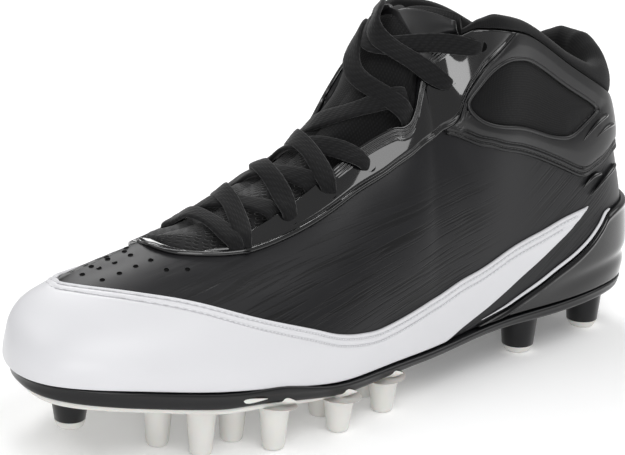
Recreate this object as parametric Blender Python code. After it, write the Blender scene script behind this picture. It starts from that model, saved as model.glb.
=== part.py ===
"""American football cleat, one left shoe, as separate named pieces.

Metres. The toe points along +X, the outer side of the foot along +Y, and the floor is z = 0. The
origin ends up on the floor, under the middle of the shoe's box.
Every curved piece is cut from one surface, skin(u, t, d): u runs round the foot from the heel
(0) up the outer side to the toe (1) and back down the inner side to the heel (2), t runs up
the section from the sole's edge (0) to the instep or collar (1), and d is the distance out.
"""

import bmesh
import bpy
import numpy as np
from mathutils import Matrix

for old in list(bpy.data.objects):
    bpy.data.objects.remove(old, do_unlink=True)

MM = 0.001

# Driving sizes
LENGTH = 300.0 * MM
WIDTH = 100.0 * MM
HEIGHT = 146.5 * MM
WALL = 2.0 * MM
GAP = 0.5 * MM
OVERLAY = 1.0 * MM
RIM_OUT = 2.1 * MM
TOE_RIM_IN = 3.0 * MM
SOLE_GAP = 0.4 * MM
PLATE_GAP = 0.5 * MM
INSOLE_THICK = 3.5 * MM
TONGUE_THICK = 4.6 * MM
PAD_THICK = 5.4 * MM
LACE_WIDTH = 6.8 * MM
LACE_THICK = 1.5 * MM
FRONT_PLATE = 2.0 * MM
TIP_HEIGHT = 3.0 * MM
STUD_TIP_R = 4.2 * MM
STUD_BASE_R = 6.6 * MM
HEEL_TIP_R = 6.0 * MM
HEEL_BASE_R = 8.6 * MM

# Longest steps between the stations round the shoe
WALL_STEP = 13.5 * MM
OVERLAY_STEP = 14.0 * MM
STAY_STEP = 12.0 * MM
COUNTER_STEP = 11.0 * MM
COLLAR_STEP = 10.0 * MM

# Sections of the outer side. Each row: share round, foot x, foot y, foot z, top x, top y, top z,
# low handle out, low handle up, high handle out, high handle drop. x is a share of LENGTH, y and
# the two outs of WIDTH, z, up and drop of HEIGHT.
OUTER = (
    (0.00, -0.0167, 0.0000, 0.1604, 0.0200, 0.0000, 0.6928, 0.0700, 0.1365, 0.0800, 0.1502),
    (0.06, 0.0033, 0.1900, 0.1604, 0.0367, 0.1400, 0.6997, 0.0600, 0.1502, 0.0600, 0.1638),
    (0.13, 0.0667, 0.3000, 0.1604, 0.0733, 0.2500, 0.7474, 0.0400, 0.1911, 0.0500, 0.1911),
    (0.21, 0.1600, 0.3300, 0.1536, 0.1533, 0.2800, 0.8567, 0.0300, 0.2457, 0.0500, 0.2457),
    (0.29, 0.2533, 0.3400, 0.1536, 0.2400, 0.3000, 0.9590, 0.0300, 0.2730, 0.0400, 0.3003),
    (0.37, 0.3333, 0.3600, 0.1468, 0.3200, 0.2600, 1.0000, 0.0300, 0.2867, 0.0800, 0.3003),
    (0.44, 0.4067, 0.3900, 0.1399, 0.3700, -0.0200, 1.0137, 0.0400, 0.3276, 0.2600, 0.1502),
    (0.51, 0.4867, 0.4200, 0.1399, 0.4333, -0.0200, 0.8294, 0.0500, 0.2730, 0.2700, 0.0819),
    (0.55, 0.5333, 0.4400, 0.1399, 0.4833, -0.0200, 0.7201, 0.0500, 0.2457, 0.2600, 0.0410),
    (0.61, 0.5933, 0.4600, 0.1468, 0.5567, -0.0300, 0.6314, 0.0500, 0.2184, 0.2500, 0.0410),
    (0.68, 0.6767, 0.4600, 0.1741, 0.6400, -0.0400, 0.5563, 0.0500, 0.1843, 0.2200, 0.0273),
    (0.76, 0.7600, 0.4200, 0.1945, 0.7200, -0.0600, 0.5085, 0.0500, 0.1638, 0.2000, 0.0068),
    (0.85, 0.8533, 0.3300, 0.2218, 0.8033, -0.0800, 0.4676, 0.0500, 0.1365, 0.1800, 0.0096),
    (0.93, 0.9400, 0.1680, 0.2423, 0.8567, -0.0900, 0.4403, 0.0500, 0.1092, 0.1600, 0.0232),
    (1.00, 0.9530, -0.0300, 0.2491, 0.8833, -0.1000, 0.4198, 0.0090, 0.0790, 0.1900, 0.0341),
)

# Sections of the inner side, with the same columns
INNER = (
    (0.00, -0.0167, 0.0000, 0.1604, 0.0200, 0.0000, 0.6928, 0.0700, 0.1365, 0.0800, 0.1502),
    (0.06, 0.0033, -0.1900, 0.1604, 0.0367, -0.1400, 0.6997, 0.0600, 0.1502, 0.0600, 0.1638),
    (0.13, 0.0667, -0.2900, 0.1604, 0.0733, -0.2500, 0.7474, 0.0400, 0.1911, 0.0500, 0.1911),
    (0.21, 0.1600, -0.3100, 0.1604, 0.1533, -0.2800, 0.8567, 0.0300, 0.2457, 0.0500, 0.2457),
    (0.29, 0.2533, -0.3000, 0.1741, 0.2400, -0.3000, 0.9350, 0.0300, 0.2730, 0.0400, 0.3003),
    (0.37, 0.3400, -0.2900, 0.1945, 0.3200, -0.2700, 0.9620, 0.0300, 0.2867, 0.0800, 0.3003),
    (0.44, 0.4200, -0.2900, 0.2014, 0.3700, -0.0200, 1.0137, 0.0500, 0.3276, 0.2600, 0.1502),
    (0.51, 0.5000, -0.3100, 0.1945, 0.4333, -0.0200, 0.8294, 0.0600, 0.2730, 0.2350, 0.1300),
    (0.55, 0.5467, -0.3500, 0.1877, 0.4833, -0.0200, 0.7201, 0.0600, 0.2457, 0.2350, 0.1200),
    (0.61, 0.6133, -0.4100, 0.1741, 0.5567, -0.0300, 0.6314, 0.0500, 0.2184, 0.2060, 0.0850),
    (0.68, 0.7000, -0.4600, 0.1741, 0.6400, -0.0400, 0.5563, 0.0400, 0.1843, 0.1870, 0.0670),
    (0.76, 0.7900, -0.4630, 0.1945, 0.7200, -0.0600, 0.5085, 0.0400, 0.1570, 0.1420, 0.0620),
    (0.85, 0.8706, -0.3630, 0.2218, 0.8033, -0.0800, 0.4676, 0.0660, 0.0930, 0.1760, 0.0530),
    (0.93, 0.9210, -0.2190, 0.2423, 0.8567, -0.0900, 0.4403, -0.0030, 0.0900, 0.1335, 0.0400),
    (1.00, 0.9530, -0.0300, 0.2491, 0.8833, -0.1000, 0.4198, 0.0090, 0.0790, 0.1900, 0.0341),
)

# The instep starts here: from this share on, the two sides meet along one crest
CREST = 0.44

# Edges of the pieces, as (share round, share up)
TOP_EDGE = (
    (0.0, 0.955), (0.1, 0.952), (0.2, 0.950), (0.3, 0.970), (0.34, 0.975), (0.365, 0.965),
    (0.385, 0.920), (0.418, 0.816), (0.436, 0.755), (0.455, 0.700), (0.468, 0.660),
    (0.476, 0.650), (0.486, 0.662), (0.497, 0.695), (0.528, 0.752), (0.548, 0.772),
    (0.57, 0.780), (0.60, 0.770), (0.63, 0.760), (0.66, 0.750), (0.69, 0.735), (0.72, 0.720),
    (0.745, 0.735), (0.762, 0.770), (0.776, 0.820), (0.786, 0.890), (0.790, 0.950), (0.792, 1.0),
    (1.0, 1.0),
)
STAY_LOW = (
    (0.311, 0.971), (0.34, 0.910), (0.359, 0.861), (0.375, 0.790), (0.388, 0.718),
    (0.398, 0.643), (0.41, 0.600), (0.422, 0.575), (0.443, 0.545), (0.475, 0.555),
    (0.509, 0.588), (0.562, 0.625), (0.63, 0.630), (0.682, 0.637), (0.708, 0.656),
    (0.740, 0.694), (0.776, 0.768), (0.796, 0.869), (0.801, 0.940), (0.803, 1.0),
)
CUFF_LOW = (
    (0.0, 0.700), (0.06, 0.692), (0.112, 0.664), (0.161, 0.564), (0.187, 0.519),
    (0.221, 0.538), (0.274, 0.569), (0.320, 0.600), (0.350, 0.615), (0.38, 0.600),
    (0.398, 0.585), (0.420, 0.567),
)
WINDOW_LOW = (
    (0.160, 0.830), (0.170, 0.796), (0.189, 0.736), (0.204, 0.690), (0.219, 0.662),
    (0.247, 0.652), (0.281, 0.664), (0.315, 0.682), (0.350, 0.690), (0.372, 0.690),
    (0.387, 0.700),
)
WINDOW_HIGH = (
    (0.160, 0.836), (0.170, 0.848), (0.190, 0.854), (0.225, 0.862), (0.262, 0.878),
    (0.298, 0.892), (0.320, 0.892), (0.339, 0.877), (0.355, 0.842), (0.372, 0.775),
    (0.387, 0.706),
)
TOE_HIGH = (
    (0.173, 0.394), (0.209, 0.349), (0.252, 0.292), (0.311, 0.243), (0.377, 0.192), (0.441, 0.142),
    (0.48, 0.136), (0.529, 0.141), (0.562, 0.159), (0.604, 0.194), (0.64, 0.245), (0.717, 0.364),
    (0.774, 0.467), (0.82, 0.562), (0.855, 0.645), (0.902, 0.768), (0.939, 0.899), (0.952, 0.96),
    (0.958, 1.0), (1.0, 1.0),
)
TOE_LOW = (
    (0.173, 0.39), (0.188, 0.334), (0.206, 0.278), (0.227, 0.226), (0.248, 0.18), (0.275, 0.134),
    (0.303, 0.094), (0.335, 0.06), (0.368, 0.035), (0.388, 0.021), (0.42, 0.0), (1.0, 0.0),
)
COUNTER_HIGH = (
    (0.0, 0.43), (0.06, 0.425), (0.1, 0.405), (0.137, 0.354), (0.149, 0.298), (0.167, 0.23),
    (0.191, 0.17), (0.218, 0.124), (0.244, 0.083), (0.271, 0.053), (0.3, 0.027), (0.333, 0.013),
    (0.352, 0.008),
)
TONGUE_LOW = (
    (0.385, 0.900), (0.40, 0.800), (0.42, 0.680), (0.45, 0.590), (0.475, 0.560), (0.50, 0.580),
    (0.54, 0.640), (0.57, 0.665), (0.62, 0.660), (0.68, 0.650), (0.72, 0.650), (0.75, 0.680),
    (0.77, 0.740), (0.78, 0.820),
)

# Plate: share round, thickness in shares of HEIGHT
PLATE = (
    (0.0, 0.032), (0.2, 0.030), (0.36, 0.024), (0.46, 0.024), (0.55, 0.030), (0.62, 0.032),
    (0.70, 0.036), (0.76, 0.044), (0.88, 0.044), (1.0, 0.034),
)

# Studs: name, share of LENGTH, share of WIDTH, lift of the tip off the floor in shares of HEIGHT
FRONT_STUDS = (
    ("outer_1", 0.755, 0.305, 0.000), ("outer_2", 0.671, 0.415, 0.000),
    ("outer_3", 0.570, 0.425, 0.000), ("outer_4", 0.482, 0.375, 0.000),
    ("mid_1", 0.780, 0.140, 0.000), ("mid_2", 0.697, 0.265, 0.000),
    ("mid_3", 0.556, 0.270, 0.000), ("mid_4", 0.468, 0.220, 0.000),
    ("inner_1", 0.780, -0.330, 0.000), ("inner_2", 0.690, -0.370, 0.000),
    ("inner_3", 0.590, -0.320, 0.000), ("inner_4", 0.500, -0.240, 0.000),
)
BACK_STUDS = (
    ("heel_outer_front", 0.190, 0.210, 0.000), ("heel_outer_back", 0.048, 0.155, 0.000),
    ("heel_inner_front", 0.190, -0.200, 0.000), ("heel_inner_back", 0.048, -0.155, 0.000),
)
TOE_STUD = (0.865, -0.055, 0.048)

# Eyelets: share round, share up, lowest pair first
EYELETS = (
    (0.692, 0.664), (0.632, 0.690), (0.582, 0.690), (0.533, 0.668), (0.424, 0.690), (0.376, 0.868),
)


def spline_slopes(xs, ys):
    """Second derivatives of the natural cubic through the rows, by one linear solve."""
    n = len(xs)
    h = np.diff(xs)
    left = np.eye(n)
    right = np.zeros(ys.shape)
    for i in range(1, n - 1):
        left[i, i - 1] = h[i - 1] / 6
        left[i, i] = (h[i - 1] + h[i]) / 3
        left[i, i + 1] = h[i] / 6
        right[i] = (ys[i + 1] - ys[i]) / h[i] - (ys[i] - ys[i - 1]) / h[i - 1]
    return np.linalg.solve(left, right)


def knots(own, other):
    """Rows of one side, carried past both ends by the other side's, with their slopes."""
    own = np.array(own)
    other = np.array(other)
    xs = np.concatenate([-own[:0:-1, 0], own[:, 0], 2 - own[-2::-1, 0]])
    ys = np.concatenate([other[:0:-1, 1:], own[:, 1:], other[-2::-1, 1:]])
    ys = ys * np.array([LENGTH, WIDTH, HEIGHT, LENGTH, WIDTH, HEIGHT, WIDTH, HEIGHT, WIDTH, HEIGHT])
    return xs, ys, spline_slopes(xs, ys)


KNOTS = {1: knots(OUTER, INNER), -1: knots(INNER, OUTER)}


def section(side, a):
    """The ten lengths of a section at share a of one side."""
    xs, ys, m = KNOTS[side]
    i = np.clip(np.searchsorted(xs, a) - 1, 0, len(xs) - 2)
    h = (xs[i + 1] - xs[i])[..., None]
    q = (a - xs[i])[..., None] / h
    p = 1 - q
    bend = ((p**3 - p) * m[i] + (q**3 - q) * m[i + 1]) * h * h / 6
    return p * ys[i] + q * ys[i + 1] + bend


def unit(v):
    return v / np.maximum(np.linalg.norm(v, axis=-1, keepdims=True), 1e-12)


def ease(x):
    x = np.clip(x, 0, 1)
    return x * x * (3 - 2 * x)


def plan_normal(side, a):
    """Level direction straight out from the foot line."""
    d = section(side, a + 0.001) - section(side, a - 0.001)
    return unit(np.stack([-d[..., 1], d[..., 0], 0 * d[..., 0]], -1)) * side


def point(side, a, t):
    """Point of the surface: a cubic from the foot line to the instep or collar line."""
    s = section(side, a)
    n = plan_normal(side, a)
    instep = ease((a - 0.37) / 0.08)[..., None]
    toe = np.clip((a - 0.8) / 0.2, 0, 1)[..., None]
    across = np.zeros(n.shape)
    across[..., 1] = side
    m = unit(n * (1 - instep) + (across * (1 - toe) + n * toe) * instep)
    up = np.array([0.0, 0.0, 1.0])
    foot = s[..., 0:3]
    top = s[..., 3:6]
    shared = (top + section(-side, a)[..., 3:6]) / 2
    top = np.where((a >= CREST - 1e-9)[..., None], shared, top)
    low = foot + n * s[..., 6:7] + up * s[..., 7:8]
    high = top + m * s[..., 8:9] - up * s[..., 9:10]
    t = t[..., None]
    return (1 - t)**3 * foot + 3 * (1 - t)**2 * t * low + 3 * (1 - t) * t**2 * high + t**3 * top


def normal(side, a, t):
    step = 0.002
    along = point(side, a + step, t) - point(side, a - step, t)
    upward = point(side, a, t + step) - point(side, a, t - step)
    return unit(np.cross(upward, along)) * side


def skin(u, t, d=0.0):
    """Surface of the upper at u, t, moved out by d along its normal."""
    u, t, d = np.broadcast_arrays(np.asarray(u, float), np.asarray(t, float), np.asarray(d, float))
    a = np.minimum(u, 2 - u)
    n1 = normal(1, a, t)
    n2 = normal(-1, a, t)
    outer = (u <= 1)[..., None]
    n = np.where(outer, n1, n2)
    crest = ((t >= 1 - 1e-9) & (a >= CREST - 1e-9))[..., None]
    seam = ((a <= 1e-9) | (a >= 1 - 1e-9))[..., None]
    n = unit(np.where(crest | seam, n1 + n2, n))
    p = np.where(outer, point(1, a, t), point(-1, a, t))
    return p + n * d[..., None]


def curve(table, a):
    """Height of an edge at share a: a monotone cubic through the table."""
    table = np.array(table)
    x = table[:, 0]
    y = table[:, 1]
    h = np.diff(x)
    g = np.diff(y) / h
    m = np.zeros(len(x))
    same = g[:-1] * g[1:] > 0
    m[1:-1][same] = 2 * g[:-1][same] * g[1:][same] / (g[:-1] + g[1:])[same]
    m[0] = g[0]
    m[-1] = g[-1]
    a = np.clip(a, x[0], x[-1])
    i = np.clip(np.searchsorted(x, a) - 1, 0, len(x) - 2)
    q = (a - x[i]) / h[i]
    a0 = (1 + 2 * q) * (1 - q)**2 * y[i] + q * (1 - q)**2 * h[i] * m[i]
    return a0 + q * q * (3 - 2 * q) * y[i + 1] + q * q * (q - 1) * h[i] * m[i + 1]


def stations(start, end, size, *tables):
    """Shares round from start to end: the tables' own, filled in to steps of about size.

    Steps are shorter where the toe and the heel turn.
    """
    dense = np.linspace(start, end, 400)
    steps = np.linalg.norm(np.diff(skin(dense, 0.25), axis=0), axis=1)
    middle = (dense[1:] + dense[:-1]) / 2
    steps *= np.where((middle > 0.86) | (middle < 0.16), 1.5, 1.0)
    steps *= np.where((middle > 0.38) & (middle < 0.45), 2.0, 1.0)
    run = np.concatenate([[0], np.cumsum(steps)])
    marks = {start, end}
    for table in tables:
        marks |= {row[0] for row in table if start < row[0] < end}
    marks = sorted(marks)
    kept = [marks[0]]
    for value in marks[1:-1]:
        if value - kept[-1] > 0.0035 and marks[-1] - value > 0.0015:
            kept.append(value)
    kept.append(marks[-1])
    found = [kept[0]]
    for first, last in zip(kept[:-1], kept[1:]):
        one, two = np.interp([first, last], dense, run)
        parts = max(1, int(np.ceil((two - one) / size - 0.35)))
        found += list(np.interp(np.linspace(one, two, parts + 1)[1:-1], run, dense)) + [last]
    return np.array(found)


def both_sides(shares):
    """The shares of the outer side and their mirror on the inner side, as one run of u."""
    other = 2 - shares[::-1]
    if abs(shares[-1] - 1) < 1e-9:
        other = other[1:]
    return np.concatenate([shares, other])


def material(name, colour, roughness, coat=0.0):
    made = bpy.data.materials.get(name) or bpy.data.materials.new(name)
    made.use_nodes = True
    shader = made.node_tree.nodes["Principled BSDF"]
    shader.inputs["Base Color"].default_value = (*colour, 1.0)
    shader.inputs["Roughness"].default_value = roughness
    shader.inputs["Coat Weight"].default_value = coat
    return made


def solid(name, points, faces, look):
    """An object from points and faces, with its doubled points joined and its faces turned out."""
    mesh = bpy.data.meshes.new(name)
    bm = bmesh.new()
    verts = [bm.verts.new(p) for p in points]
    for face in faces:
        bm.faces.new([verts[i] for i in face])
    bmesh.ops.remove_doubles(bm, verts=bm.verts[:], dist=2e-6)
    bmesh.ops.recalc_face_normals(bm, faces=bm.faces[:])
    if bm.calc_volume(signed=True) < 0:
        bmesh.ops.reverse_faces(bm, faces=bm.faces[:])
    bm.to_mesh(mesh)
    bm.free()
    made = bpy.data.objects.new(name, mesh)
    bpy.context.scene.collection.objects.link(made)
    made.data.materials.append(look)
    return made


def patch(name, us, low, high, inside, outside, rows, look, closed=False):
    """One solid between two offsets of the skin. low and high are the edges t at each u."""
    us = np.asarray(us)
    n = len(us)
    low = np.broadcast_to(low, us.shape)
    high = np.broadcast_to(high, us.shape)
    t = low[:, None] + (high - low)[:, None] * np.linspace(0, 1, rows + 1)
    u = np.broadcast_to(us[:, None], t.shape)
    far = outside(u, t) if callable(outside) else outside
    near = inside(u, t) if callable(inside) else inside
    points = np.concatenate([skin(u, t, far).reshape(-1, 3), skin(u, t, near).reshape(-1, 3)])
    a = np.minimum(us, 2 - us)
    merged = (high >= 1 - 1e-9) & (a >= CREST - 1e-9)
    flat = high - low < 1e-9

    def at(layer, i, j):
        return layer * n * (rows + 1) + (i % n) * (rows + 1) + j

    faces = []
    for i in range(n if closed else n - 1):
        k = (i + 1) % n
        for j in range(rows):
            faces.append((at(0, i, j), at(0, i, j + 1), at(0, k, j + 1), at(0, k, j)))
            faces.append((at(1, i, j), at(1, k, j), at(1, k, j + 1), at(1, i, j + 1)))
        faces.append((at(0, i, 0), at(0, k, 0), at(1, k, 0), at(1, i, 0)))
        if not (merged[i] and merged[k]):
            faces.append((at(0, i, rows), at(1, i, rows), at(1, k, rows), at(0, k, rows)))
    if not closed:
        for i in (0, n - 1):
            if not flat[i]:
                for j in range(rows):
                    faces.append((at(0, i, j), at(0, i, j + 1), at(1, i, j + 1), at(1, i, j)))
    return solid(name, points, faces, look)


def sole_grade(side, a):
    """Slope of the sole's edge plane along x and across y at share a."""
    one = section(side, a)
    two = section(-side, a)
    ahead = np.clip(a + 0.04, 0, 1)
    behind = np.clip(a - 0.04, 0, 1)
    move = section(side, ahead) + section(-side, ahead) - section(side, behind) - section(-side, behind)
    along = move[..., 2] / np.maximum(move[..., 0], 2 * MM)
    wide = one[..., 1] - two[..., 1]
    across = (one[..., 2] - two[..., 2]) * np.sign(wide) / np.maximum(np.abs(wide), 0.2 * WIDTH)
    return np.stack([along, across], -1)


def bed_point(side, a, out, share, drop):
    """A point of the sole: the foot line moved out, drawn to the middle by share, lowered by drop."""
    ends = []
    grade = sole_grade(side, a)
    for one in (side, -side):
        n = plan_normal(one, a)
        rise = (n[..., 0:1] * grade[..., 0:1] + n[..., 1:2] * grade[..., 1:2]) * out
        foot = section(one, a)[..., 0:3] + n * out
        foot[..., 2:3] += rise
        ends.append(foot)
    p = ends[0] + (ends[1] - ends[0]) * 0.5 * share
    p[..., 2] -= drop
    return p


def leaf(name, shares, rings, look):
    """A closed sole layer from rings (out, share to the middle, drop), from its top to its bottom."""
    n = len(shares)
    points = []
    for side in (1, -1):
        for out, share, drop in rings:
            out = np.broadcast_to(out, n)[:, None]
            points.append(bed_point(side, shares, out, share, np.broadcast_to(drop, n)))
    points = np.concatenate(points)
    count = len(rings)
    faces = []
    for s in range(2):
        for k in range(count - 1):
            for i in range(n - 1):
                a = (s * count + k) * n + i
                faces.append((a, a + 1, a + n + 1, a + n))
    for i in (0, n - 1):
        if 1e-9 < shares[i] < 1 - 1e-9:
            one = [k * n + i for k in range(count)]
            two = [(count + k) * n + i for k in range(count)]
            faces.append(one + two[-2:0:-1])
            if abs(rings[0][1] - 1) > 1e-9:
                raise ValueError("a cut leaf needs rings that reach the middle")
    return solid(name, points, faces, look)


def lathe_points(x, y, profile, sides):
    """A turned body. A ring (r, z) is level, and (r, None, z) lies z above the plate's underside."""
    angle = np.linspace(0, 2 * np.pi, sides, endpoint=False)
    rings = []
    for r, z, *rise in profile:
        px = x + r * np.cos(angle)
        py = y + r * np.sin(angle)
        if z is None:
            pz = np.array([underside(*p) for p in zip(px, py)]) + rise[0]
        else:
            pz = np.full(sides, z)
        rings.append(np.stack([px, py, pz], -1))
    faces = [tuple(range(sides))[::-1]]
    for k in range(len(profile) - 1):
        for i in range(sides):
            j = (i + 1) % sides
            faces.append((k * sides + i, k * sides + j, (k + 1) * sides + j, (k + 1) * sides + i))
    faces.append(tuple((len(profile) - 1) * sides + i for i in range(sides)))
    return np.concatenate(rings), faces


def lathes(name, many, sides, look):
    """Several turned bodies, each (x, y, profile), as one object."""
    points = []
    faces = []
    start = 0
    for x, y, profile in many:
        p, f = lathe_points(x, y, profile, sides)
        points.append(p)
        faces += [tuple(i + start for i in face) for face in f]
        start += len(p)
    return solid(name, np.concatenate(points), faces, look)


def join(target, other, operation):
    """Boolean of target with other, applied, and other removed."""
    modifier = target.modifiers.new("cut", "BOOLEAN")
    modifier.operation = operation
    modifier.solver = "EXACT"
    modifier.use_self = operation == "UNION"
    modifier.object = other
    bpy.context.view_layer.update()
    graph = bpy.context.evaluated_depsgraph_get()
    mesh = bpy.data.meshes.new_from_object(target.evaluated_get(graph))
    target.modifiers.clear()
    target.data = mesh
    bpy.data.objects.remove(other, do_unlink=True)
    return target


BLACK = material("black_synthetic", (0.012, 0.012, 0.013), 0.55)
PATENT = material("patent_leather", (0.02, 0.02, 0.022), 0.12, 1.0)
WHITE = material("white_synthetic", (0.78, 0.78, 0.78), 0.4)
CUFF = material("satin_synthetic", (0.045, 0.045, 0.048), 0.4)
TEXTILE = material("black_textile", (0.01, 0.01, 0.011), 0.9)
PLASTIC = material("black_tpu", (0.008, 0.008, 0.009), 0.35)
PEARL = material("white_tpu", (0.74, 0.74, 0.72), 0.35)
WOVEN = material("lace_webbing", (0.008, 0.008, 0.009), 0.9)


def top_at(a):
    return curve(TOP_EDGE, a)


def share_of(u):
    return np.minimum(u, 2 - u)


def build_upper():
    shares = stations(0.0, 1.0, WALL_STEP, TOP_EDGE)
    us = both_sides(shares)[:-1]
    return patch("upper", us, 0.0, top_at(share_of(us)), -WALL, 0.0, 7, BLACK, closed=True)


def build_toe_overlay():
    """White overlay: round the toe and back along both sides to the heel."""
    shares = stations(TOE_HIGH[0][0], 1.0, OVERLAY_STEP, [row for row in TOE_HIGH if row[0] > CREST + 0.1])
    us = both_sides(shares)
    a = share_of(us)
    low = curve(TOE_LOW, a) + 0.007
    high = np.maximum(curve(TOE_HIGH, a), low)
    return patch("toe_overlay", us, low, high, GAP + 0.2 * MM, GAP + OVERLAY, 5, WHITE)


def build_eyestay():
    shares = stations(STAY_LOW[0][0], STAY_LOW[-1][0], STAY_STEP, TOP_EDGE, STAY_LOW)
    us = both_sides(shares)
    a = share_of(us)
    low = curve(STAY_LOW, a)
    high = np.maximum(top_at(a), low)
    return patch("eyestay", us, low, high, GAP, GAP + OVERLAY, 3, PATENT)


def build_cuff():
    """Ankle panel round the heel, cut away at its two windows."""
    shares = stations(0.0, 0.412, OVERLAY_STEP, CUFF_LOW[3:], STAY_LOW)
    us = np.concatenate([-shares[:0:-1], shares]) % 2
    a = share_of(us)
    low = curve(CUFF_LOW, a)
    front = np.where(a > STAY_LOW[0][0] - 0.006, curve(STAY_LOW, a) - 0.010, 2.0)
    high = np.maximum(np.minimum(top_at(a), front), low + 0.004)
    cuff = patch("cuff", us, low, high, GAP, GAP + OVERLAY, 3, CUFF)
    for sign in (1, -1):
        window = np.array([row[0] for row in WINDOW_LOW])
        us = window if sign > 0 else 2 - window[::-1]
        low = curve(WINDOW_LOW, share_of(us))
        high = curve(WINDOW_HIGH, share_of(us))
        hole = patch("hole", us, low, high, -1.0 * MM, 4.0 * MM, 2, CUFF)
        join(cuff, hole, "DIFFERENCE")
    return cuff


def build_ankle_pads():
    middle = (WINDOW_LOW[0][0] + WINDOW_LOW[-1][0]) / 2
    for sign, name in ((1, "ankle_pad_outer"), (-1, "ankle_pad_inner")):
        window = np.array([row[0] for row in WINDOW_LOW])
        near = middle + (window - middle) * 0.975
        low = curve(WINDOW_LOW, window)
        high = curve(WINDOW_HIGH, window)
        centre = (low + high) / 2
        half = np.maximum((high - low) / 2 - 0.010, 0.002)
        us = near if sign > 0 else 2 - near[::-1]
        if sign < 0:
            centre = centre[::-1]
            half = half[::-1]
        swell = 1.4 * MM

        def outside(u, t):
            across = np.sin(np.pi * np.clip((share_of(u) - near[0]) / (near[-1] - near[0]), 0, 1))
            up = 1 - (2 * (t - t.mean(axis=1, keepdims=True)) / np.ptp(t, axis=1, keepdims=True))**2
            return GAP + 0.6 * MM + swell * np.clip(across, 0, 1) * np.clip(up, 0, 1)

        patch(name, us, centre - half, centre + half, GAP, outside, 4, TEXTILE)


def build_counter():
    shares = stations(0.0, COUNTER_HIGH[-1][0], COUNTER_STEP, COUNTER_HIGH)
    us = np.concatenate([-shares[:0:-1], shares]) % 2
    a = share_of(us)
    low = np.full(len(us), 0.004)
    high = np.maximum(curve(COUNTER_HIGH, a), low + 0.003)

    def outside(u, t):
        end = ease((COUNTER_HIGH[-1][0] - share_of(u)) / 0.20)
        return GAP + OVERLAY + 0.9 * MM * end

    return patch("heel_counter", us, low, high, GAP, outside, 3, PATENT)


def build_piping():
    for sign, name in ((1, "counter_piping_outer"), (-1, "counter_piping_inner")):
        shares = stations(0.110, 0.300, STAY_STEP, COUNTER_HIGH)
        us = shares if sign > 0 else 2 - shares[::-1]
        base = curve(COUNTER_HIGH, share_of(us))
        patch(name, us, base + 0.008, base + 0.023, GAP, GAP + OVERLAY, 1, WHITE)


def build_tongue():
    shares = stations(TONGUE_LOW[0][0], TONGUE_LOW[-1][0], STAY_STEP, TONGUE_LOW)
    us = both_sides(shares)
    a = share_of(us)
    low = curve(TONGUE_LOW, a)
    under = WALL + 1.2 * MM

    def outside(u, t):
        edge = top_at(share_of(u))
        k = np.clip((t - edge) / np.maximum(1 - edge, 0.02), 0, 1)
        clear = ease((t - edge - 0.02) / 0.10)
        return -under + (under - 2.2 * MM + 3.2 * MM * np.sin(np.pi * k)) * clear

    def inside(u, t):
        edge = ease((t - curve(TONGUE_LOW, share_of(u))) / 0.10)
        return -under - TONGUE_THICK * (0.35 + 0.65 * edge)

    return patch("tongue", us, low, 1.0, inside, outside, 5, TEXTILE)


SOLE = np.array([
    0.0, 0.010, 0.026, 0.046, 0.075, 0.11, 0.16, 0.22, 0.29, 0.36, 0.43, 0.49, 0.55, 0.61, 0.67,
    0.73, 0.78, 0.83, 0.87, 0.905, 0.935, 0.96, 0.982, 1.0,
])


def toe_turn(a):
    """0 along the sides and 1 round the toe, where the rim draws in under the overlay."""
    return ease((a - 0.84) / 0.10)


def build_outsole():
    """Black plate: true outline, toe spring and arch, with a rim that shows below the upper."""
    shares = SOLE
    thick = curve(PLATE, shares) * HEIGHT + SOLE_GAP
    rim = RIM_OUT - TOE_RIM_IN * toe_turn(shares)
    rings = (
        (-4.0 * MM, 1.0, SOLE_GAP),
        (-4.0 * MM, 0.5, SOLE_GAP),
        (-4.0 * MM, 0.0, SOLE_GAP),
        (rim - 0.5 * MM, 0.0, SOLE_GAP),
        (rim, 0.0, SOLE_GAP + 0.5 * MM),
        (rim, 0.0, thick * 0.6),
        (rim - 1.4 * MM, 0.0, thick),
        (rim - 1.4 * MM, 0.5, thick),
        (rim - 1.4 * MM, 1.0, thick),
    )
    return leaf("outsole", shares, rings, PLASTIC)


def underside(x, y):
    """Height of the black plate's underside over a point of the floor."""
    shares = np.linspace(0.002, 0.998, 250)
    one = section(1, shares)
    two = section(-1, shares)
    w = np.clip((y - two[:, 1]) / (one[:, 1] - two[:, 1]), 0, 1)
    along = two[:, 0] + (one[:, 0] - two[:, 0]) * w
    i = int(np.argmin(abs(along - x)))
    level = two[i, 2] + (one[i, 2] - two[i, 2]) * w[i]
    return level - curve(PLATE, shares[i]) * HEIGHT - SOLE_GAP


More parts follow.
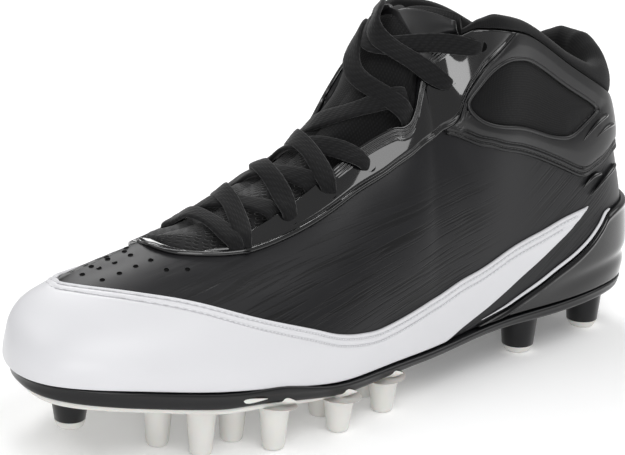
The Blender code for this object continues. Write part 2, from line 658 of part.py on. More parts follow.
def build_front_plate():
    """White plate under the ball and toe, with its moulded studs."""
    shares = SOLE[SOLE > 0.42]
    top = curve(PLATE, shares) * HEIGHT + SOLE_GAP + PLATE_GAP
    out = -2.6 * MM + 2.2 * MM * np.exp(-((shares - 0.72) / 0.07)**2)
    out = out - TOE_RIM_IN * 0.5 * toe_turn(shares)
    rings = (
        (out, 1.0, top),
        (out, 0.5, top),
        (out, 0.0, top),
        (out, 0.0, top + FRONT_PLATE * 0.5),
        (out - 1.0 * MM, 0.0, top + FRONT_PLATE),
        (out - 1.0 * MM, 1.0, top + FRONT_PLATE),
    )
    plate = leaf("forefoot_plate", shares, rings, PEARL)
    many = []
    for _, sx, sy, lift in FRONT_STUDS:
        x = sx * LENGTH
        y = sy * WIDTH
        level = -PLATE_GAP - FRONT_PLATE
        under = underside(x, y) + level
        tip = lift * HEIGHT
        profile = (
            (STUD_TIP_R, tip),
            (STUD_BASE_R - 0.6 * MM, under - 3.0 * MM), (STUD_BASE_R + 1.0 * MM, None, level - 0.3 * MM),
            (STUD_BASE_R + 1.0 * MM, None, level + 0.9 * MM),
        )
        many.append((x, y, profile))
    return join(plate, lathes("studs", many, 10, PEARL), "UNION")


def build_back_studs(outsole):
    many = []
    for name, sx, sy, lift in BACK_STUDS:
        x = sx * LENGTH
        y = sy * WIDTH
        under = underside(x, y)
        tip = lift * HEIGHT
        grow = (HEEL_BASE_R - HEEL_TIP_R) / (under - tip)
        split = HEEL_TIP_R + grow * TIP_HEIGHT
        profile = (
            (split, tip + TIP_HEIGHT + 0.3 * MM), (HEEL_BASE_R - 1.0 * MM, under - 3.0 * MM),
            (HEEL_BASE_R + 1.0 * MM, None, -0.4 * MM), (HEEL_BASE_R + 1.0 * MM, None, 1.6 * MM),
        )
        many.append((x, y, profile))
        cap = (
            (HEEL_TIP_R - 0.8 * MM, tip), (HEEL_TIP_R, tip + 0.9 * MM), (split, tip + TIP_HEIGHT),
        )
        lathes("stud_tip_" + name, [(x, y, cap)], 12, PEARL)
    return join(outsole, lathes("studs", many, 12, PLASTIC), "UNION")


def build_toe_stud():
    x = TOE_STUD[0] * LENGTH
    y = TOE_STUD[1] * WIDTH
    tip = TOE_STUD[2] * HEIGHT
    level = -PLATE_GAP - FRONT_PLATE - 0.3 * MM
    top = underside(x, y) + level
    profile = (
        (HEEL_TIP_R - 0.2 * MM, tip + TIP_HEIGHT + 0.3 * MM), (HEEL_BASE_R - 1.4 * MM, top - 2.4 * MM),
        (HEEL_BASE_R, None, level),
    )
    lathes("toe_stud", [(x, y, profile)], 12, PLASTIC)
    cap = (
        (HEEL_TIP_R - 1.4 * MM, tip), (HEEL_TIP_R - 0.6 * MM, tip + 0.9 * MM),
        (HEEL_TIP_R - 0.2 * MM, tip + TIP_HEIGHT),
    )
    lathes("stud_tip_toe", [(x, y, cap)], 12, PEARL)


def build_insole():
    shares = SOLE
    inset = -(WALL + 0.9 * MM)
    base = SOLE_GAP - PLATE_GAP
    rings = (
        (inset - 1.0 * MM, 1.0, base - INSOLE_THICK + 0.6 * MM),
        (inset - 1.0 * MM, 0.0, base - INSOLE_THICK),
        (inset, 0.0, base - INSOLE_THICK + 0.8 * MM),
        (inset, 0.0, base),
        (inset, 0.5, base),
        (inset, 1.0, base),
    )
    return leaf("insole", shares, rings, TEXTILE)


# Collar roll: out, up, share of the heel rise taken, outward share of the rise. Shares of PAD_THICK.
COLLAR = (
    (0.22, 0.10, 0.00, 0.00), (0.24, 0.50, 0.40, 0.12), (-0.06, 0.92, 0.88, 0.12),
    (-0.62, 1.04, 1.00, 0.04), (-1.18, 0.76, 0.88, -0.04), (-1.42, 0.00, 0.45, -0.06),
    (-1.36, -1.40, 0.00, 0.00), (-1.00, -3.20, 0.00, 0.00), (-0.44, -4.80, 0.00, 0.00),
    (-0.44, -2.40, 0.00, 0.00), (-0.44, 0.10, 0.00, 0.00),
)
HEEL_RISE = (
    (0.0, 0.150), (0.03, 0.150), (0.07, 0.120), (0.12, 0.055), (0.17, 0.010), (0.22, 0.0),
    (0.36, 0.0),
)


def build_collar():
    """Padded textile collar: rolls over the top edge, lines the inside, and rises at the heel."""
    shares = stations(0.0, 0.352, COLLAR_STEP)
    us = np.concatenate([-shares[:0:-1], shares]) % 2
    a = share_of(us)
    t = top_at(a)
    edge = skin(us, t)
    out = unit(skin(us, t, MM) - edge)
    below = edge - skin(us, t - 0.02)
    up = unit(below)
    per = np.linalg.norm(below, axis=-1) / 0.02
    rise = curve(HEEL_RISE, a) * HEIGHT
    rows = []
    for o, h, share, lean in COLLAR:
        inner = o <= -0.44
        fade = 0.35 + 0.65 * ease((0.352 - a) / 0.10) if inner else np.ones(len(us))
        move = (o + 0.44) * fade * PAD_THICK - WALL - GAP - 0.2 * MM if inner else o * PAD_THICK * fade
        move = move + lean * rise
        if h < 0:
            rows.append(skin(us, t + h * fade * PAD_THICK / per, move))
        else:
            rows.append(edge + out * move[:, None] + up * (h * PAD_THICK + share * rise)[:, None])
    n = len(us)
    count = len(COLLAR)
    points = np.concatenate(rows)
    faces = []
    for k in range(count):
        for i in range(n - 1):
            m = (k + 1) % count
            faces.append((k * n + i, k * n + i + 1, m * n + i + 1, m * n + i))
    faces.append(tuple(k * n for k in range(count)))
    faces.append(tuple(k * n + n - 1 for k in range(count)))
    return solid("collar", points, faces, TEXTILE)


def lace_path(start, end, lift, count=11):
    """Centres and normals from an outer eyelet over the crest to an inner one."""
    best = None
    for middle in np.linspace(min(start[0], end[0]), max(start[0], end[0]) + 0.05, 26):
        middle = max(middle, CREST + 0.012)
        k = np.linspace(0, 1, 12)
        one = skin(start[0] + (middle - start[0]) * k, start[1] + (1 - start[1]) * k, lift)
        two = skin(2 - (end[0] + (middle - end[0]) * k[::-1]), 1 + (end[1] - 1) * k, lift)
        path = np.concatenate([one, two[1:]])
        length = np.linalg.norm(np.diff(path, axis=0), axis=1).sum()
        if best is None or length < best[0]:
            u = np.concatenate([start[0] + (middle - start[0]) * k,
                                2 - (end[0] + (middle - end[0]) * k[::-1])[1:]])
            t = np.concatenate([start[1] + (1 - start[1]) * k, (1 + (end[1] - 1) * k)[1:]])
            best = (length, path, u, t)
    _, path, u, t = best
    normals = unit(skin(u, t, lift + MM) - path)
    for _ in range(6):
        normals[1:-1] = unit(normals[:-2] + 2 * normals[1:-1] + normals[2:])
        path[1:-1] = (path[:-2] + 2 * path[1:-1] + path[2:]) / 4
    lift_up = np.sin(np.linspace(0, np.pi, len(path)))[:, None] * 0.8 * MM
    path = path + normals * lift_up
    run = np.concatenate([[0], np.cumsum(np.linalg.norm(np.diff(path, axis=0), axis=1))])
    at = np.linspace(0, run[-1], count)
    path = np.stack([np.interp(at, run, path[:, c]) for c in range(3)], -1)
    normals = unit(np.stack([np.interp(at, run, normals[:, c]) for c in range(3)], -1))
    return path, normals


def strap(name, path, normals, look):
    """Flat webbing along a path."""
    along = unit(np.gradient(path, axis=0))
    side = unit(np.cross(normals, along))
    face = unit(np.cross(along, side))
    w = LACE_WIDTH / 2
    h = LACE_THICK / 2
    ring = ((-w, -h), (w, -h), (w, h), (-w, h))
    n = len(path)
    points = np.concatenate([path + side * x + face * y for x, y in ring])
    faces = []
    for k in range(len(ring)):
        m = (k + 1) % len(ring)
        for i in range(n - 1):
            faces.append((k * n + i, k * n + i + 1, m * n + i + 1, m * n + i))
    faces.append(tuple(k * n for k in range(len(ring))))
    faces.append(tuple(k * n + n - 1 for k in range(len(ring))))
    return solid(name, points, faces, look)


def build_laces():
    """One bar at the lowest pair, then a crossing between each pair and the next."""
    lift = GAP + OVERLAY + LACE_THICK / 2 + 0.8 * MM
    path, normals = lace_path((EYELETS[0][0] + 0.013, EYELETS[0][1]), (EYELETS[0][0] + 0.013, EYELETS[0][1]), lift)
    strap("lace_bar_1", path, normals, WOVEN)
    for k in range(len(EYELETS) - 1):
        low = EYELETS[k]
        high = EYELETS[k + 1]
        step = np.array([high[0] - low[0], high[1] - low[1]])
        start = np.array(low) + step * 0.26
        end = np.array(high) - step * 0.20
        path, normals = lace_path(start, end, lift)
        one = strap("lace_cross_" + str(k + 1), path, normals, WOVEN)
        path, normals = lace_path(end, start, lift)
        join(one, strap("strand", path, normals, WOVEN), "UNION")


def centre_pieces():
    """Moves every piece level, until the origin is under the middle of their common box."""
    pieces = list(bpy.context.scene.collection.objects)
    corners = np.array([vert.co for piece in pieces for vert in piece.data.vertices])
    middle = (corners.min(axis=0) + corners.max(axis=0)) / 2
    for piece in pieces:
        piece.data.transform(Matrix.Translation((-middle[0], -middle[1], 0.0)))


build_upper()
build_toe_overlay()
build_eyestay()
build_cuff()
build_ankle_pads()
build_counter()
build_piping()
build_tongue()
build_collar()
build_insole()
build_front_plate()
build_back_studs(build_outsole())
build_toe_stud()
build_laces()
centre_pieces()
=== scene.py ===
"""Looks of an american football cleat, one left shoe, built round its packed solids.

The toe points along +X, the outer side of the foot along +Y, and the floor is z = 0. Every panel is
cut from one surface, skin(u, t, d): u runs round the foot from the heel (0) up the outer side to
the toe (1) and back down the inner side to the heel (2), t runs up the section from the sole's
edge (0) to the instep or collar (1), and d is the distance out.
"""

import math

import bmesh
import bpy
import numpy as np
from bpy.props import FloatProperty, FloatVectorProperty, PointerProperty
from bpy.types import Operator, Panel, PropertyGroup
from mathutils import Matrix, Vector


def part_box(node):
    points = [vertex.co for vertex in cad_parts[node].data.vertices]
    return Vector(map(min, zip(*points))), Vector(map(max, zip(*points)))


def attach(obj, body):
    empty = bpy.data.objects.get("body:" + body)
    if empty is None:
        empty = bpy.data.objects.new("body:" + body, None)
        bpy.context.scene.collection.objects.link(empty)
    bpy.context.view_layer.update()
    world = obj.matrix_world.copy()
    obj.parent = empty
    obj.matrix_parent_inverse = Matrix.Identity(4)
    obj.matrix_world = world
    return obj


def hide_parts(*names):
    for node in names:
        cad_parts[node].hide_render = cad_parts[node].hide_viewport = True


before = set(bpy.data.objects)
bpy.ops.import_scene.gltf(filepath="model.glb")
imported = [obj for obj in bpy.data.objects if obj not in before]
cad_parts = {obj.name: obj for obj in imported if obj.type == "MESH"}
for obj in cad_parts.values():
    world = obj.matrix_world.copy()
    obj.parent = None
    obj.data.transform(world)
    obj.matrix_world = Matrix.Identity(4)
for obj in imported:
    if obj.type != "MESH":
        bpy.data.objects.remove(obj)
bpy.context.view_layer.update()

bl_info = {
    "name": "American football cleat",
    "version": (1, 0, 0),
    "blender": (4, 5, 0),
    "location": "3D View > Sidebar > Cleat",
    "description": "Dresses the solids of a left football cleat with its panels, laces and finishes",
    "category": "Object",
}

MM = 0.001

# The last and the wall, as the solids have them
LENGTH = 300.0 * MM
WIDTH = 100.0 * MM
HEIGHT = 146.5 * MM
WALL = 2.0 * MM
RIM_OUT = 2.1 * MM
TOE_RIM_IN = 3.0 * MM
SOLE_GAP = 0.4 * MM
PLATE_GAP = 0.5 * MM
FRONT_PLATE = 2.0 * MM
STUD_TIP_R = 4.2 * MM
STUD_BASE_R = 6.6 * MM
HEEL_BASE_R = 8.6 * MM
PAD_THICK = 5.4 * MM
TONGUE_THICK = 4.6 * MM

# Sections of the outer side. Each row: share round, foot x, foot y, foot z, top x, top y, top z,
# low handle out, low handle up, high handle out, high handle drop. x is a share of LENGTH, y and
# the two outs of WIDTH, z, up and drop of HEIGHT.
OUTER = (
    (0.00, -0.0167, 0.0000, 0.1604, 0.0200, 0.0000, 0.6928, 0.0700, 0.1365, 0.0800, 0.1502),
    (0.06, 0.0033, 0.1900, 0.1604, 0.0367, 0.1400, 0.6997, 0.0600, 0.1502, 0.0600, 0.1638),
    (0.13, 0.0667, 0.3000, 0.1604, 0.0733, 0.2500, 0.7474, 0.0400, 0.1911, 0.0500, 0.1911),
    (0.21, 0.1600, 0.3300, 0.1536, 0.1533, 0.2800, 0.8567, 0.0300, 0.2457, 0.0500, 0.2457),
    (0.29, 0.2533, 0.3400, 0.1536, 0.2400, 0.3000, 0.9590, 0.0300, 0.2730, 0.0400, 0.3003),
    (0.37, 0.3333, 0.3600, 0.1468, 0.3200, 0.2600, 1.0000, 0.0300, 0.2867, 0.0800, 0.3003),
    (0.44, 0.4067, 0.3900, 0.1399, 0.3700, -0.0200, 1.0137, 0.0400, 0.3276, 0.2600, 0.1502),
    (0.51, 0.4867, 0.4200, 0.1399, 0.4333, -0.0200, 0.8294, 0.0500, 0.2730, 0.2700, 0.0819),
    (0.55, 0.5333, 0.4400, 0.1399, 0.4833, -0.0200, 0.7201, 0.0500, 0.2457, 0.2600, 0.0410),
    (0.61, 0.5933, 0.4600, 0.1468, 0.5567, -0.0300, 0.6314, 0.0500, 0.2184, 0.2500, 0.0410),
    (0.68, 0.6767, 0.4600, 0.1741, 0.6400, -0.0400, 0.5563, 0.0500, 0.1843, 0.2200, 0.0273),
    (0.76, 0.7600, 0.4200, 0.1945, 0.7200, -0.0600, 0.5085, 0.0500, 0.1638, 0.2000, 0.0068),
    (0.85, 0.8533, 0.3300, 0.2218, 0.8033, -0.0800, 0.4676, 0.0500, 0.1365, 0.1800, 0.0096),
    (0.93, 0.9400, 0.1680, 0.2423, 0.8567, -0.0900, 0.4403, 0.0500, 0.1092, 0.1600, 0.0232),
    (1.00, 0.9530, -0.0300, 0.2491, 0.8833, -0.1000, 0.4198, 0.0090, 0.0790, 0.1900, 0.0341),
)

# Sections of the inner side, with the same columns. Both sides share the heel's and the toe's row.
INNER = (
    OUTER[0],
    (0.06, 0.0033, -0.1900, 0.1604, 0.0367, -0.1400, 0.6997, 0.0600, 0.1502, 0.0600, 0.1638),
    (0.13, 0.0667, -0.2900, 0.1604, 0.0733, -0.2500, 0.7474, 0.0400, 0.1911, 0.0500, 0.1911),
    (0.21, 0.1600, -0.3100, 0.1604, 0.1533, -0.2800, 0.8567, 0.0300, 0.2457, 0.0500, 0.2457),
    (0.29, 0.2533, -0.3000, 0.1741, 0.2400, -0.3000, 0.9350, 0.0300, 0.2730, 0.0400, 0.3003),
    (0.37, 0.3400, -0.2900, 0.1945, 0.3200, -0.2700, 0.9620, 0.0300, 0.2867, 0.0800, 0.3003),
    (0.44, 0.4200, -0.2900, 0.2014, 0.3700, -0.0200, 1.0137, 0.0500, 0.3276, 0.2600, 0.1502),
    (0.51, 0.5000, -0.3100, 0.1945, 0.4333, -0.0200, 0.8294, 0.0600, 0.2730, 0.2350, 0.1300),
    (0.55, 0.5467, -0.3500, 0.1877, 0.4833, -0.0200, 0.7201, 0.0600, 0.2457, 0.2350, 0.1200),
    (0.61, 0.6133, -0.4100, 0.1741, 0.5567, -0.0300, 0.6314, 0.0500, 0.2184, 0.2060, 0.0850),
    (0.68, 0.7000, -0.4600, 0.1741, 0.6400, -0.0400, 0.5563, 0.0400, 0.1843, 0.1870, 0.0670),
    (0.76, 0.7900, -0.4630, 0.1945, 0.7200, -0.0600, 0.5085, 0.0400, 0.1570, 0.1420, 0.0620),
    (0.85, 0.8706, -0.3630, 0.2218, 0.8033, -0.0800, 0.4676, 0.0660, 0.0930, 0.1760, 0.0530),
    (0.93, 0.9210, -0.2190, 0.2423, 0.8567, -0.0900, 0.4403, -0.0030, 0.0900, 0.1335, 0.0400),
    OUTER[-1],
)

# From this share on, the two sides meet along the crest of the instep
CREST = 0.44

# Shares nearer to each other than this are the same
CLOSE = 1e-9

# Edges of the panels, as (share round, share up)
TOP_EDGE = (
    (0.0, 0.955), (0.1, 0.952), (0.2, 0.950), (0.3, 0.970), (0.34, 0.975), (0.365, 0.965),
    (0.385, 0.920), (0.418, 0.816), (0.436, 0.755), (0.455, 0.700), (0.468, 0.660),
    (0.476, 0.650), (0.486, 0.662), (0.497, 0.695), (0.528, 0.752), (0.548, 0.772),
    (0.57, 0.780), (0.60, 0.770), (0.63, 0.760), (0.66, 0.750), (0.69, 0.735), (0.72, 0.720),
    (0.745, 0.735), (0.762, 0.770), (0.776, 0.820), (0.786, 0.890), (0.790, 0.950), (0.792, 1.0),
    (1.0, 1.0),
)
STAY_LOW = (
    (0.311, 0.971), (0.34, 0.910), (0.359, 0.861), (0.375, 0.790), (0.388, 0.718),
    (0.398, 0.643), (0.41, 0.600), (0.422, 0.575), (0.443, 0.545), (0.475, 0.555),
    (0.509, 0.588), (0.562, 0.625), (0.63, 0.630), (0.682, 0.637), (0.708, 0.656),
    (0.740, 0.694), (0.776, 0.768), (0.796, 0.869), (0.801, 0.940), (0.803, 1.0),
)
CUFF_LOW = (
    (0.0, 0.700), (0.06, 0.692), (0.112, 0.664), (0.161, 0.564), (0.187, 0.519),
    (0.221, 0.538), (0.274, 0.569), (0.320, 0.600), (0.350, 0.615), (0.38, 0.600),
    (0.398, 0.585), (0.420, 0.567),
)
WINDOW_LOW = (
    (0.160, 0.830), (0.170, 0.796), (0.189, 0.736), (0.204, 0.690), (0.219, 0.662),
    (0.247, 0.652), (0.281, 0.664), (0.315, 0.682), (0.350, 0.690), (0.372, 0.690),
    (0.387, 0.700),
)
WINDOW_HIGH = (
    (0.160, 0.836), (0.170, 0.848), (0.190, 0.854), (0.225, 0.862), (0.262, 0.878),
    (0.298, 0.892), (0.320, 0.892), (0.339, 0.877), (0.355, 0.842), (0.372, 0.775),
    (0.387, 0.706),
)
TOE_HIGH = (
    (0.173, 0.394), (0.209, 0.349), (0.252, 0.292), (0.311, 0.243), (0.377, 0.192), (0.441, 0.142),
    (0.48, 0.136), (0.529, 0.141), (0.562, 0.159), (0.604, 0.194), (0.64, 0.245), (0.717, 0.364),
    (0.774, 0.467), (0.82, 0.562), (0.855, 0.645), (0.902, 0.768), (0.939, 0.899), (0.952, 0.96),
    (0.958, 1.0), (1.0, 1.0),
)
TOE_LOW = (
    (0.173, 0.39), (0.188, 0.334), (0.206, 0.278), (0.227, 0.226), (0.248, 0.18), (0.275, 0.134),
    (0.303, 0.094), (0.335, 0.06), (0.368, 0.035), (0.388, 0.021), (0.42, 0.0), (1.0, 0.0),
)
COUNTER_HIGH = (
    (0.0, 0.43), (0.06, 0.425), (0.1, 0.405), (0.137, 0.354), (0.149, 0.298), (0.167, 0.23),
    (0.191, 0.17), (0.218, 0.124), (0.244, 0.083), (0.271, 0.053), (0.3, 0.027), (0.333, 0.013),
    (0.352, 0.008),
)
TONGUE_LOW = (
    (0.385, 0.900), (0.40, 0.800), (0.42, 0.680), (0.45, 0.590), (0.475, 0.560), (0.50, 0.580),
    (0.54, 0.640), (0.57, 0.665), (0.62, 0.660), (0.68, 0.650), (0.72, 0.650), (0.75, 0.680),
    (0.77, 0.740), (0.78, 0.820),
)

# Plate: share round, thickness in shares of HEIGHT
PLATE = (
    (0.0, 0.032), (0.2, 0.030), (0.36, 0.024), (0.46, 0.024), (0.55, 0.030), (0.62, 0.032),
    (0.70, 0.036), (0.76, 0.044), (0.88, 0.044), (1.0, 0.034),
)

# Studs: share of LENGTH, share of WIDTH, and for the outer row the gusset that climbs the rim
FRONT_STUDS = (
    (0.755, 0.305, True), (0.671, 0.415, True), (0.570, 0.425, True), (0.482, 0.375, True),
    (0.780, 0.140, False), (0.697, 0.265, False), (0.556, 0.270, False), (0.468, 0.220, False),
    (0.780, -0.330, True), (0.690, -0.370, True), (0.590, -0.320, True), (0.500, -0.240, True),
)
BACK_STUDS = (
    ("heel_outer_front", 0.190, 0.210), ("heel_outer_back", 0.048, 0.155),
    ("heel_inner_front", 0.190, -0.200), ("heel_inner_back", 0.048, -0.155),
)

# Lace holes: share round, share up, lowest pair first
LACE_HOLES = (
    (0.692, 0.664), (0.632, 0.690), (0.582, 0.690), (0.533, 0.668), (0.403, 0.749), (0.363, 0.915),
)

# Strands as listed, outer end to crest: pair and which strand, then share round, share up of each point
LAID = {
    (3, "over"): (
        (0.466, 0.608), (0.479, 0.675), (0.490, 0.749), (0.500, 0.824), (0.507, 0.893), (0.513, 1.0)),
    (3, "under"): (
        (0.455, 0.690), (0.470, 0.718), (0.491, 0.763), (0.511, 0.829), (0.529, 0.892), (0.552, 1.0)),
    (4, "over"): (
        (0.403, 0.730), (0.420, 0.722), (0.437, 0.739), (0.459, 0.797), (0.470, 0.868), (0.483, 1.0)),
    (4, "under"): (
        (0.363, 0.910), (0.383, 0.897), (0.407, 0.860), (0.436, 0.820), (0.466, 0.860), (0.492, 1.0)),
}

# Toe perforations: share round, share up
PERFORATIONS = (
    (0.820, 1.0), (0.827, 0.968), (0.825, 0.910), (0.808, 0.802), (0.829, 0.801), (0.772, 0.660),
    (0.853, 1.0), (0.855, 0.966), (0.850, 0.906), (0.886, 0.967), (0.876, 0.917), (0.907, 0.924),
    (0.853, 0.795), (0.879, 0.791), (0.797, 0.700),
)

# Raised strokes on both sides of the heel: share round and up of their two ends, height out in mm
HEEL_RIBS = (
    (0.193, 0.666, 0.138, 0.830, 2.4), (0.169, 0.700, 0.116, 0.795, 2.4), (0.184, 0.472, 0.150, 0.548, 0.7),
    (0.171, 0.439, 0.104, 0.605, 0.7),
)

# Collar roll: out, up, share of the heel rise taken, outward share of the rise, in PAD_THICK
COLLAR = (
    (0.22, 0.10, 0.00, 0.00), (0.24, 0.50, 0.40, 0.12), (-0.06, 0.92, 0.88, 0.12),
    (-0.62, 1.04, 1.00, 0.04), (-1.18, 0.76, 0.88, -0.04), (-1.42, 0.00, 0.45, -0.06),
    (-1.36, -1.40, 0.00, 0.00), (-1.00, -3.20, 0.00, 0.00), (-0.44, -4.80, 0.00, 0.00),
    (-0.44, -2.40, 0.00, 0.00), (-0.44, 0.10, 0.00, 0.00),
)
HEEL_RISE = (
    (0.0, 0.150), (0.03, 0.150), (0.07, 0.120), (0.12, 0.055), (0.17, 0.010), (0.22, 0.0),
    (0.36, 0.0),
)

# Soft creases of the vamp and quarter: share round, share up, half length along u, half width
# along t, tilt of t per u, height in mm (negative is a trough)
CREASES = (
    (0.760, 0.560, 0.055, 0.045, 0.6, -0.35), (0.730, 0.480, 0.050, 0.050, 0.9, 0.30),
    (0.640, 0.500, 0.050, 0.040, 0.8, -0.30), (0.560, 0.430, 0.060, 0.050, 1.0, 0.30),
    (0.455, 0.420, 0.030, 0.060, 2.0, -0.50), (0.420, 0.380, 0.030, 0.070, 2.0, 0.40),
    (0.400, 0.520, 0.022, 0.050, 1.5, -0.40), (0.860, 0.880, 0.050, 0.060, 0.3, -0.25),
)

# Camera of the photograph: degrees, and metres from the last's own origin
SHOT_AZIMUTH = 139.8
SHOT_ELEVATION = 18.4
SHOT_DISTANCE = 1.0015
SHOT_TARGET = (0.1539, 0.0021, 0.0682)
SHOT_FOCAL_PX = 2619.5
SHOT_ROLL = 1.8
SHOT_CENTRE_PX = (309.5, 221.0)
PHOTO_PX = (625, 455)
SENSOR = 36.0

# Lamps: name, azimuth and elevation in degrees, distance, width, height in metres, watts
LAMPS = (
    ("front_softbox", 142.0, 14.0, 1.5, 0.62, 0.42, 5.2),
    ("high_softbox", 160.0, 50.0, 1.3, 0.7, 0.6, 5.0),
    ("toe_softbox", 60.0, 55.0, 1.3, 0.8, 0.6, 3.5),
    ("back_softbox", 250.0, 45.0, 1.3, 0.8, 0.8, 4.0),
    ("vamp_softbox", 334.0, 49.0, 1.2, 0.5, 0.36, 5.0),
)

SIDES = ((1, "outer"), (-1, "inner"))

# Metres along the skin for one share round and for one share up, near the ankle window
WINDOW_ON = 300.0 * MM
WINDOW_UP = 105.0 * MM

# The wave texture's own period at scale 1, in metres: along an axis, and on the diagonal
WAVE_PERIOD = 0.314
SLANT_PERIOD = 0.157

# Rows of a panel near its edges: metres in from the edge
EDGE_STEPS = np.array([0, 0.06, 0.18, 0.35, 0.6, 0.9, 1.3, 1.8, 2.4]) * MM

# Collar rows at this share of PAD_THICK and further in lie inside the wall
INSIDE = -0.44

# Laces: middle above the skin, drop into a hole, drop under the throat edge
LACE_LIFT = 2.9 * MM
HOLE_DROP = 3.6 * MM
DIVE = 6.6 * MM

# The tongue's top and its laces are let down by SETTLED, growing over the height given
SETTLED = 2.8 * MM
SETTLED_FROM = 132.0 * MM
SETTLED_OVER = 16.0 * MM


def origin_shift():
    """Where the last's own origin lies in the frame: a heel tip's middle, less its place on the last."""
    low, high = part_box("stud_tip_" + BACK_STUDS[1][0])
    middle = (np.array(low) + np.array(high)) / 2
    return np.array([middle[0] - BACK_STUDS[1][1] * LENGTH, middle[1] - BACK_STUDS[1][2] * WIDTH, 0.0])


SHIFT = origin_shift()


def spline_slopes(xs, ys):
    """Second derivatives of the natural cubic through the rows, by one linear solve."""
    n = len(xs)
    h = np.diff(xs)
    left = np.eye(n)
    right = np.zeros(ys.shape)
    for i in range(1, n - 1):
        left[i, i - 1] = h[i - 1] / 6
        left[i, i] = (h[i - 1] + h[i]) / 3
        left[i, i + 1] = h[i] / 6
        right[i] = (ys[i + 1] - ys[i]) / h[i] - (ys[i] - ys[i - 1]) / h[i - 1]
    return np.linalg.solve(left, right)


def knots(own, other):
    """Rows of one side, carried past both ends by the other side's, with their slopes."""
    own = np.array(own)
    other = np.array(other)
    xs = np.concatenate([-own[:0:-1, 0], own[:, 0], 2 - own[-2::-1, 0]])
    ys = np.concatenate([other[:0:-1, 1:], own[:, 1:], other[-2::-1, 1:]])
    ys = ys * np.array([LENGTH, WIDTH, HEIGHT, LENGTH, WIDTH, HEIGHT, WIDTH, HEIGHT, WIDTH, HEIGHT])
    return xs, ys, spline_slopes(xs, ys)


KNOTS = {1: knots(OUTER, INNER), -1: knots(INNER, OUTER)}


def unit(v):
    return v / np.maximum(np.linalg.norm(v, axis=-1, keepdims=True), 1e-12)


def ease(x):
    """Smooth step: 3x^2 - 2x^3 between 0 and 1."""
    x = np.clip(x, 0, 1)
    return x * x * (3 - 2 * x)


def share_of(u):
    return np.minimum(u, 2 - u)


def section(side, a):
    """The ten lengths of a section at share a of one side, by the cubic spline through its rows."""
    xs, ys, m = KNOTS[side]
    i = np.clip(np.searchsorted(xs, a) - 1, 0, len(xs) - 2)
    h = (xs[i + 1] - xs[i])[..., None]
    q = (a - xs[i])[..., None] / h
    p = 1 - q
    bend = ((p**3 - p) * m[i] + (q**3 - q) * m[i + 1]) * h * h / 6
    return p * ys[i] + q * ys[i + 1] + bend


def plan_normal(side, a):
    """Level direction straight out from the foot line: its tangent turned a quarter."""
    d = section(side, a + 0.001) - section(side, a - 0.001)
    return unit(np.stack([-d[..., 1], d[..., 0], 0 * d[..., 0]], -1)) * side


def point(side, a, t):
    """A cubic from foot to top: (1-t)^3 foot + 3(1-t)^2 t low + 3(1-t)t^2 high + t^3 top."""
    s = section(side, a)
    n = plan_normal(side, a)
    instep = ease((a - 0.37) / 0.08)[..., None]
    toe = np.clip((a - 0.8) / 0.2, 0, 1)[..., None]
    across = np.zeros(n.shape)
    across[..., 1] = side
    m = unit(n * (1 - instep) + (across * (1 - toe) + n * toe) * instep)
    up = np.array([0.0, 0.0, 1.0])
    foot = s[..., 0:3]
    top = s[..., 3:6]
    shared = (top + section(-side, a)[..., 3:6]) / 2
    top = np.where((a >= CREST - CLOSE)[..., None], shared, top)
    low = foot + n * s[..., 6:7] + up * s[..., 7:8]
    high = top + m * s[..., 8:9] - up * s[..., 9:10]
    t = t[..., None]
    return (1 - t)**3 * foot + 3 * (1 - t)**2 * t * low + 3 * (1 - t) * t**2 * high + t**3 * top


def normal(side, a, t):
    """Cross product of the surface's two tangents, by central differences."""
    step = 0.002
    along = point(side, a + step, t) - point(side, a - step, t)
    upward = point(side, a, t + step) - point(side, a, t - step)
    return unit(np.cross(upward, along)) * side


def skin(u, t, d=0.0):
    """Point of the upper at u, t, moved out by d along the normal, in the frame."""
    u, t, d = np.broadcast_arrays(np.asarray(u, float), np.asarray(t, float), np.asarray(d, float))
    a = share_of(u)
    n1 = normal(1, a, t)
    n2 = normal(-1, a, t)
    outer = (u <= 1)[..., None]
    n = np.where(outer, n1, n2)
    crest = ((t >= 1 - CLOSE) & (a >= CREST - CLOSE))[..., None]
    seam = ((a <= CLOSE) | (a >= 1 - CLOSE))[..., None]
    n = unit(np.where(crest | seam, n1 + n2, n))
    p = np.where(outer, point(1, a, t), point(-1, a, t))
    return p + n * d[..., None] + SHIFT


def curve(table, a):
    """Height of an edge at share a: a monotone cubic through the table."""
    table = np.array(table)
    x = table[:, 0]
    y = table[:, 1]
    h = np.diff(x)
    g = np.diff(y) / h
    m = np.zeros(len(x))
    same = g[:-1] * g[1:] > 0
    m[1:-1][same] = 2 * g[:-1][same] * g[1:][same] / (g[:-1] + g[1:])[same]
    m[0] = g[0]
    m[-1] = g[-1]
    a = np.clip(a, x[0], x[-1])
    i = np.clip(np.searchsorted(x, a) - 1, 0, len(x) - 2)
    q = (a - x[i]) / h[i]
    a0 = (1 + 2 * q) * (1 - q)**2 * y[i] + q * (1 - q)**2 * h[i] * m[i]
    return a0 + q * q * (3 - 2 * q) * y[i + 1] + q * q * (q - 1) * h[i] * m[i + 1]


def shares(start, end, step, *marks):
    """Shares round from start to end, evenly spaced by step along the skin, and the marks."""
    dense = np.linspace(start, end, 900)
    run = run_of(skin(dense, 0.25))
    count = max(2, int(round(run[-1] / step)) + 1)
    found = np.interp(np.linspace(0, run[-1], count), run, dense)
    for mark in marks:
        found[np.argmin(abs(found - mark))] = mark
    found[0] = start
    found[-1] = end
    return found


def both_sides(found):
    """The shares of the outer side and their mirror on the inner side, as one run of u."""
    other = 2 - found[::-1]
    return np.concatenate([found, other[1:] if abs(found[-1] - 1) < CLOSE else other])


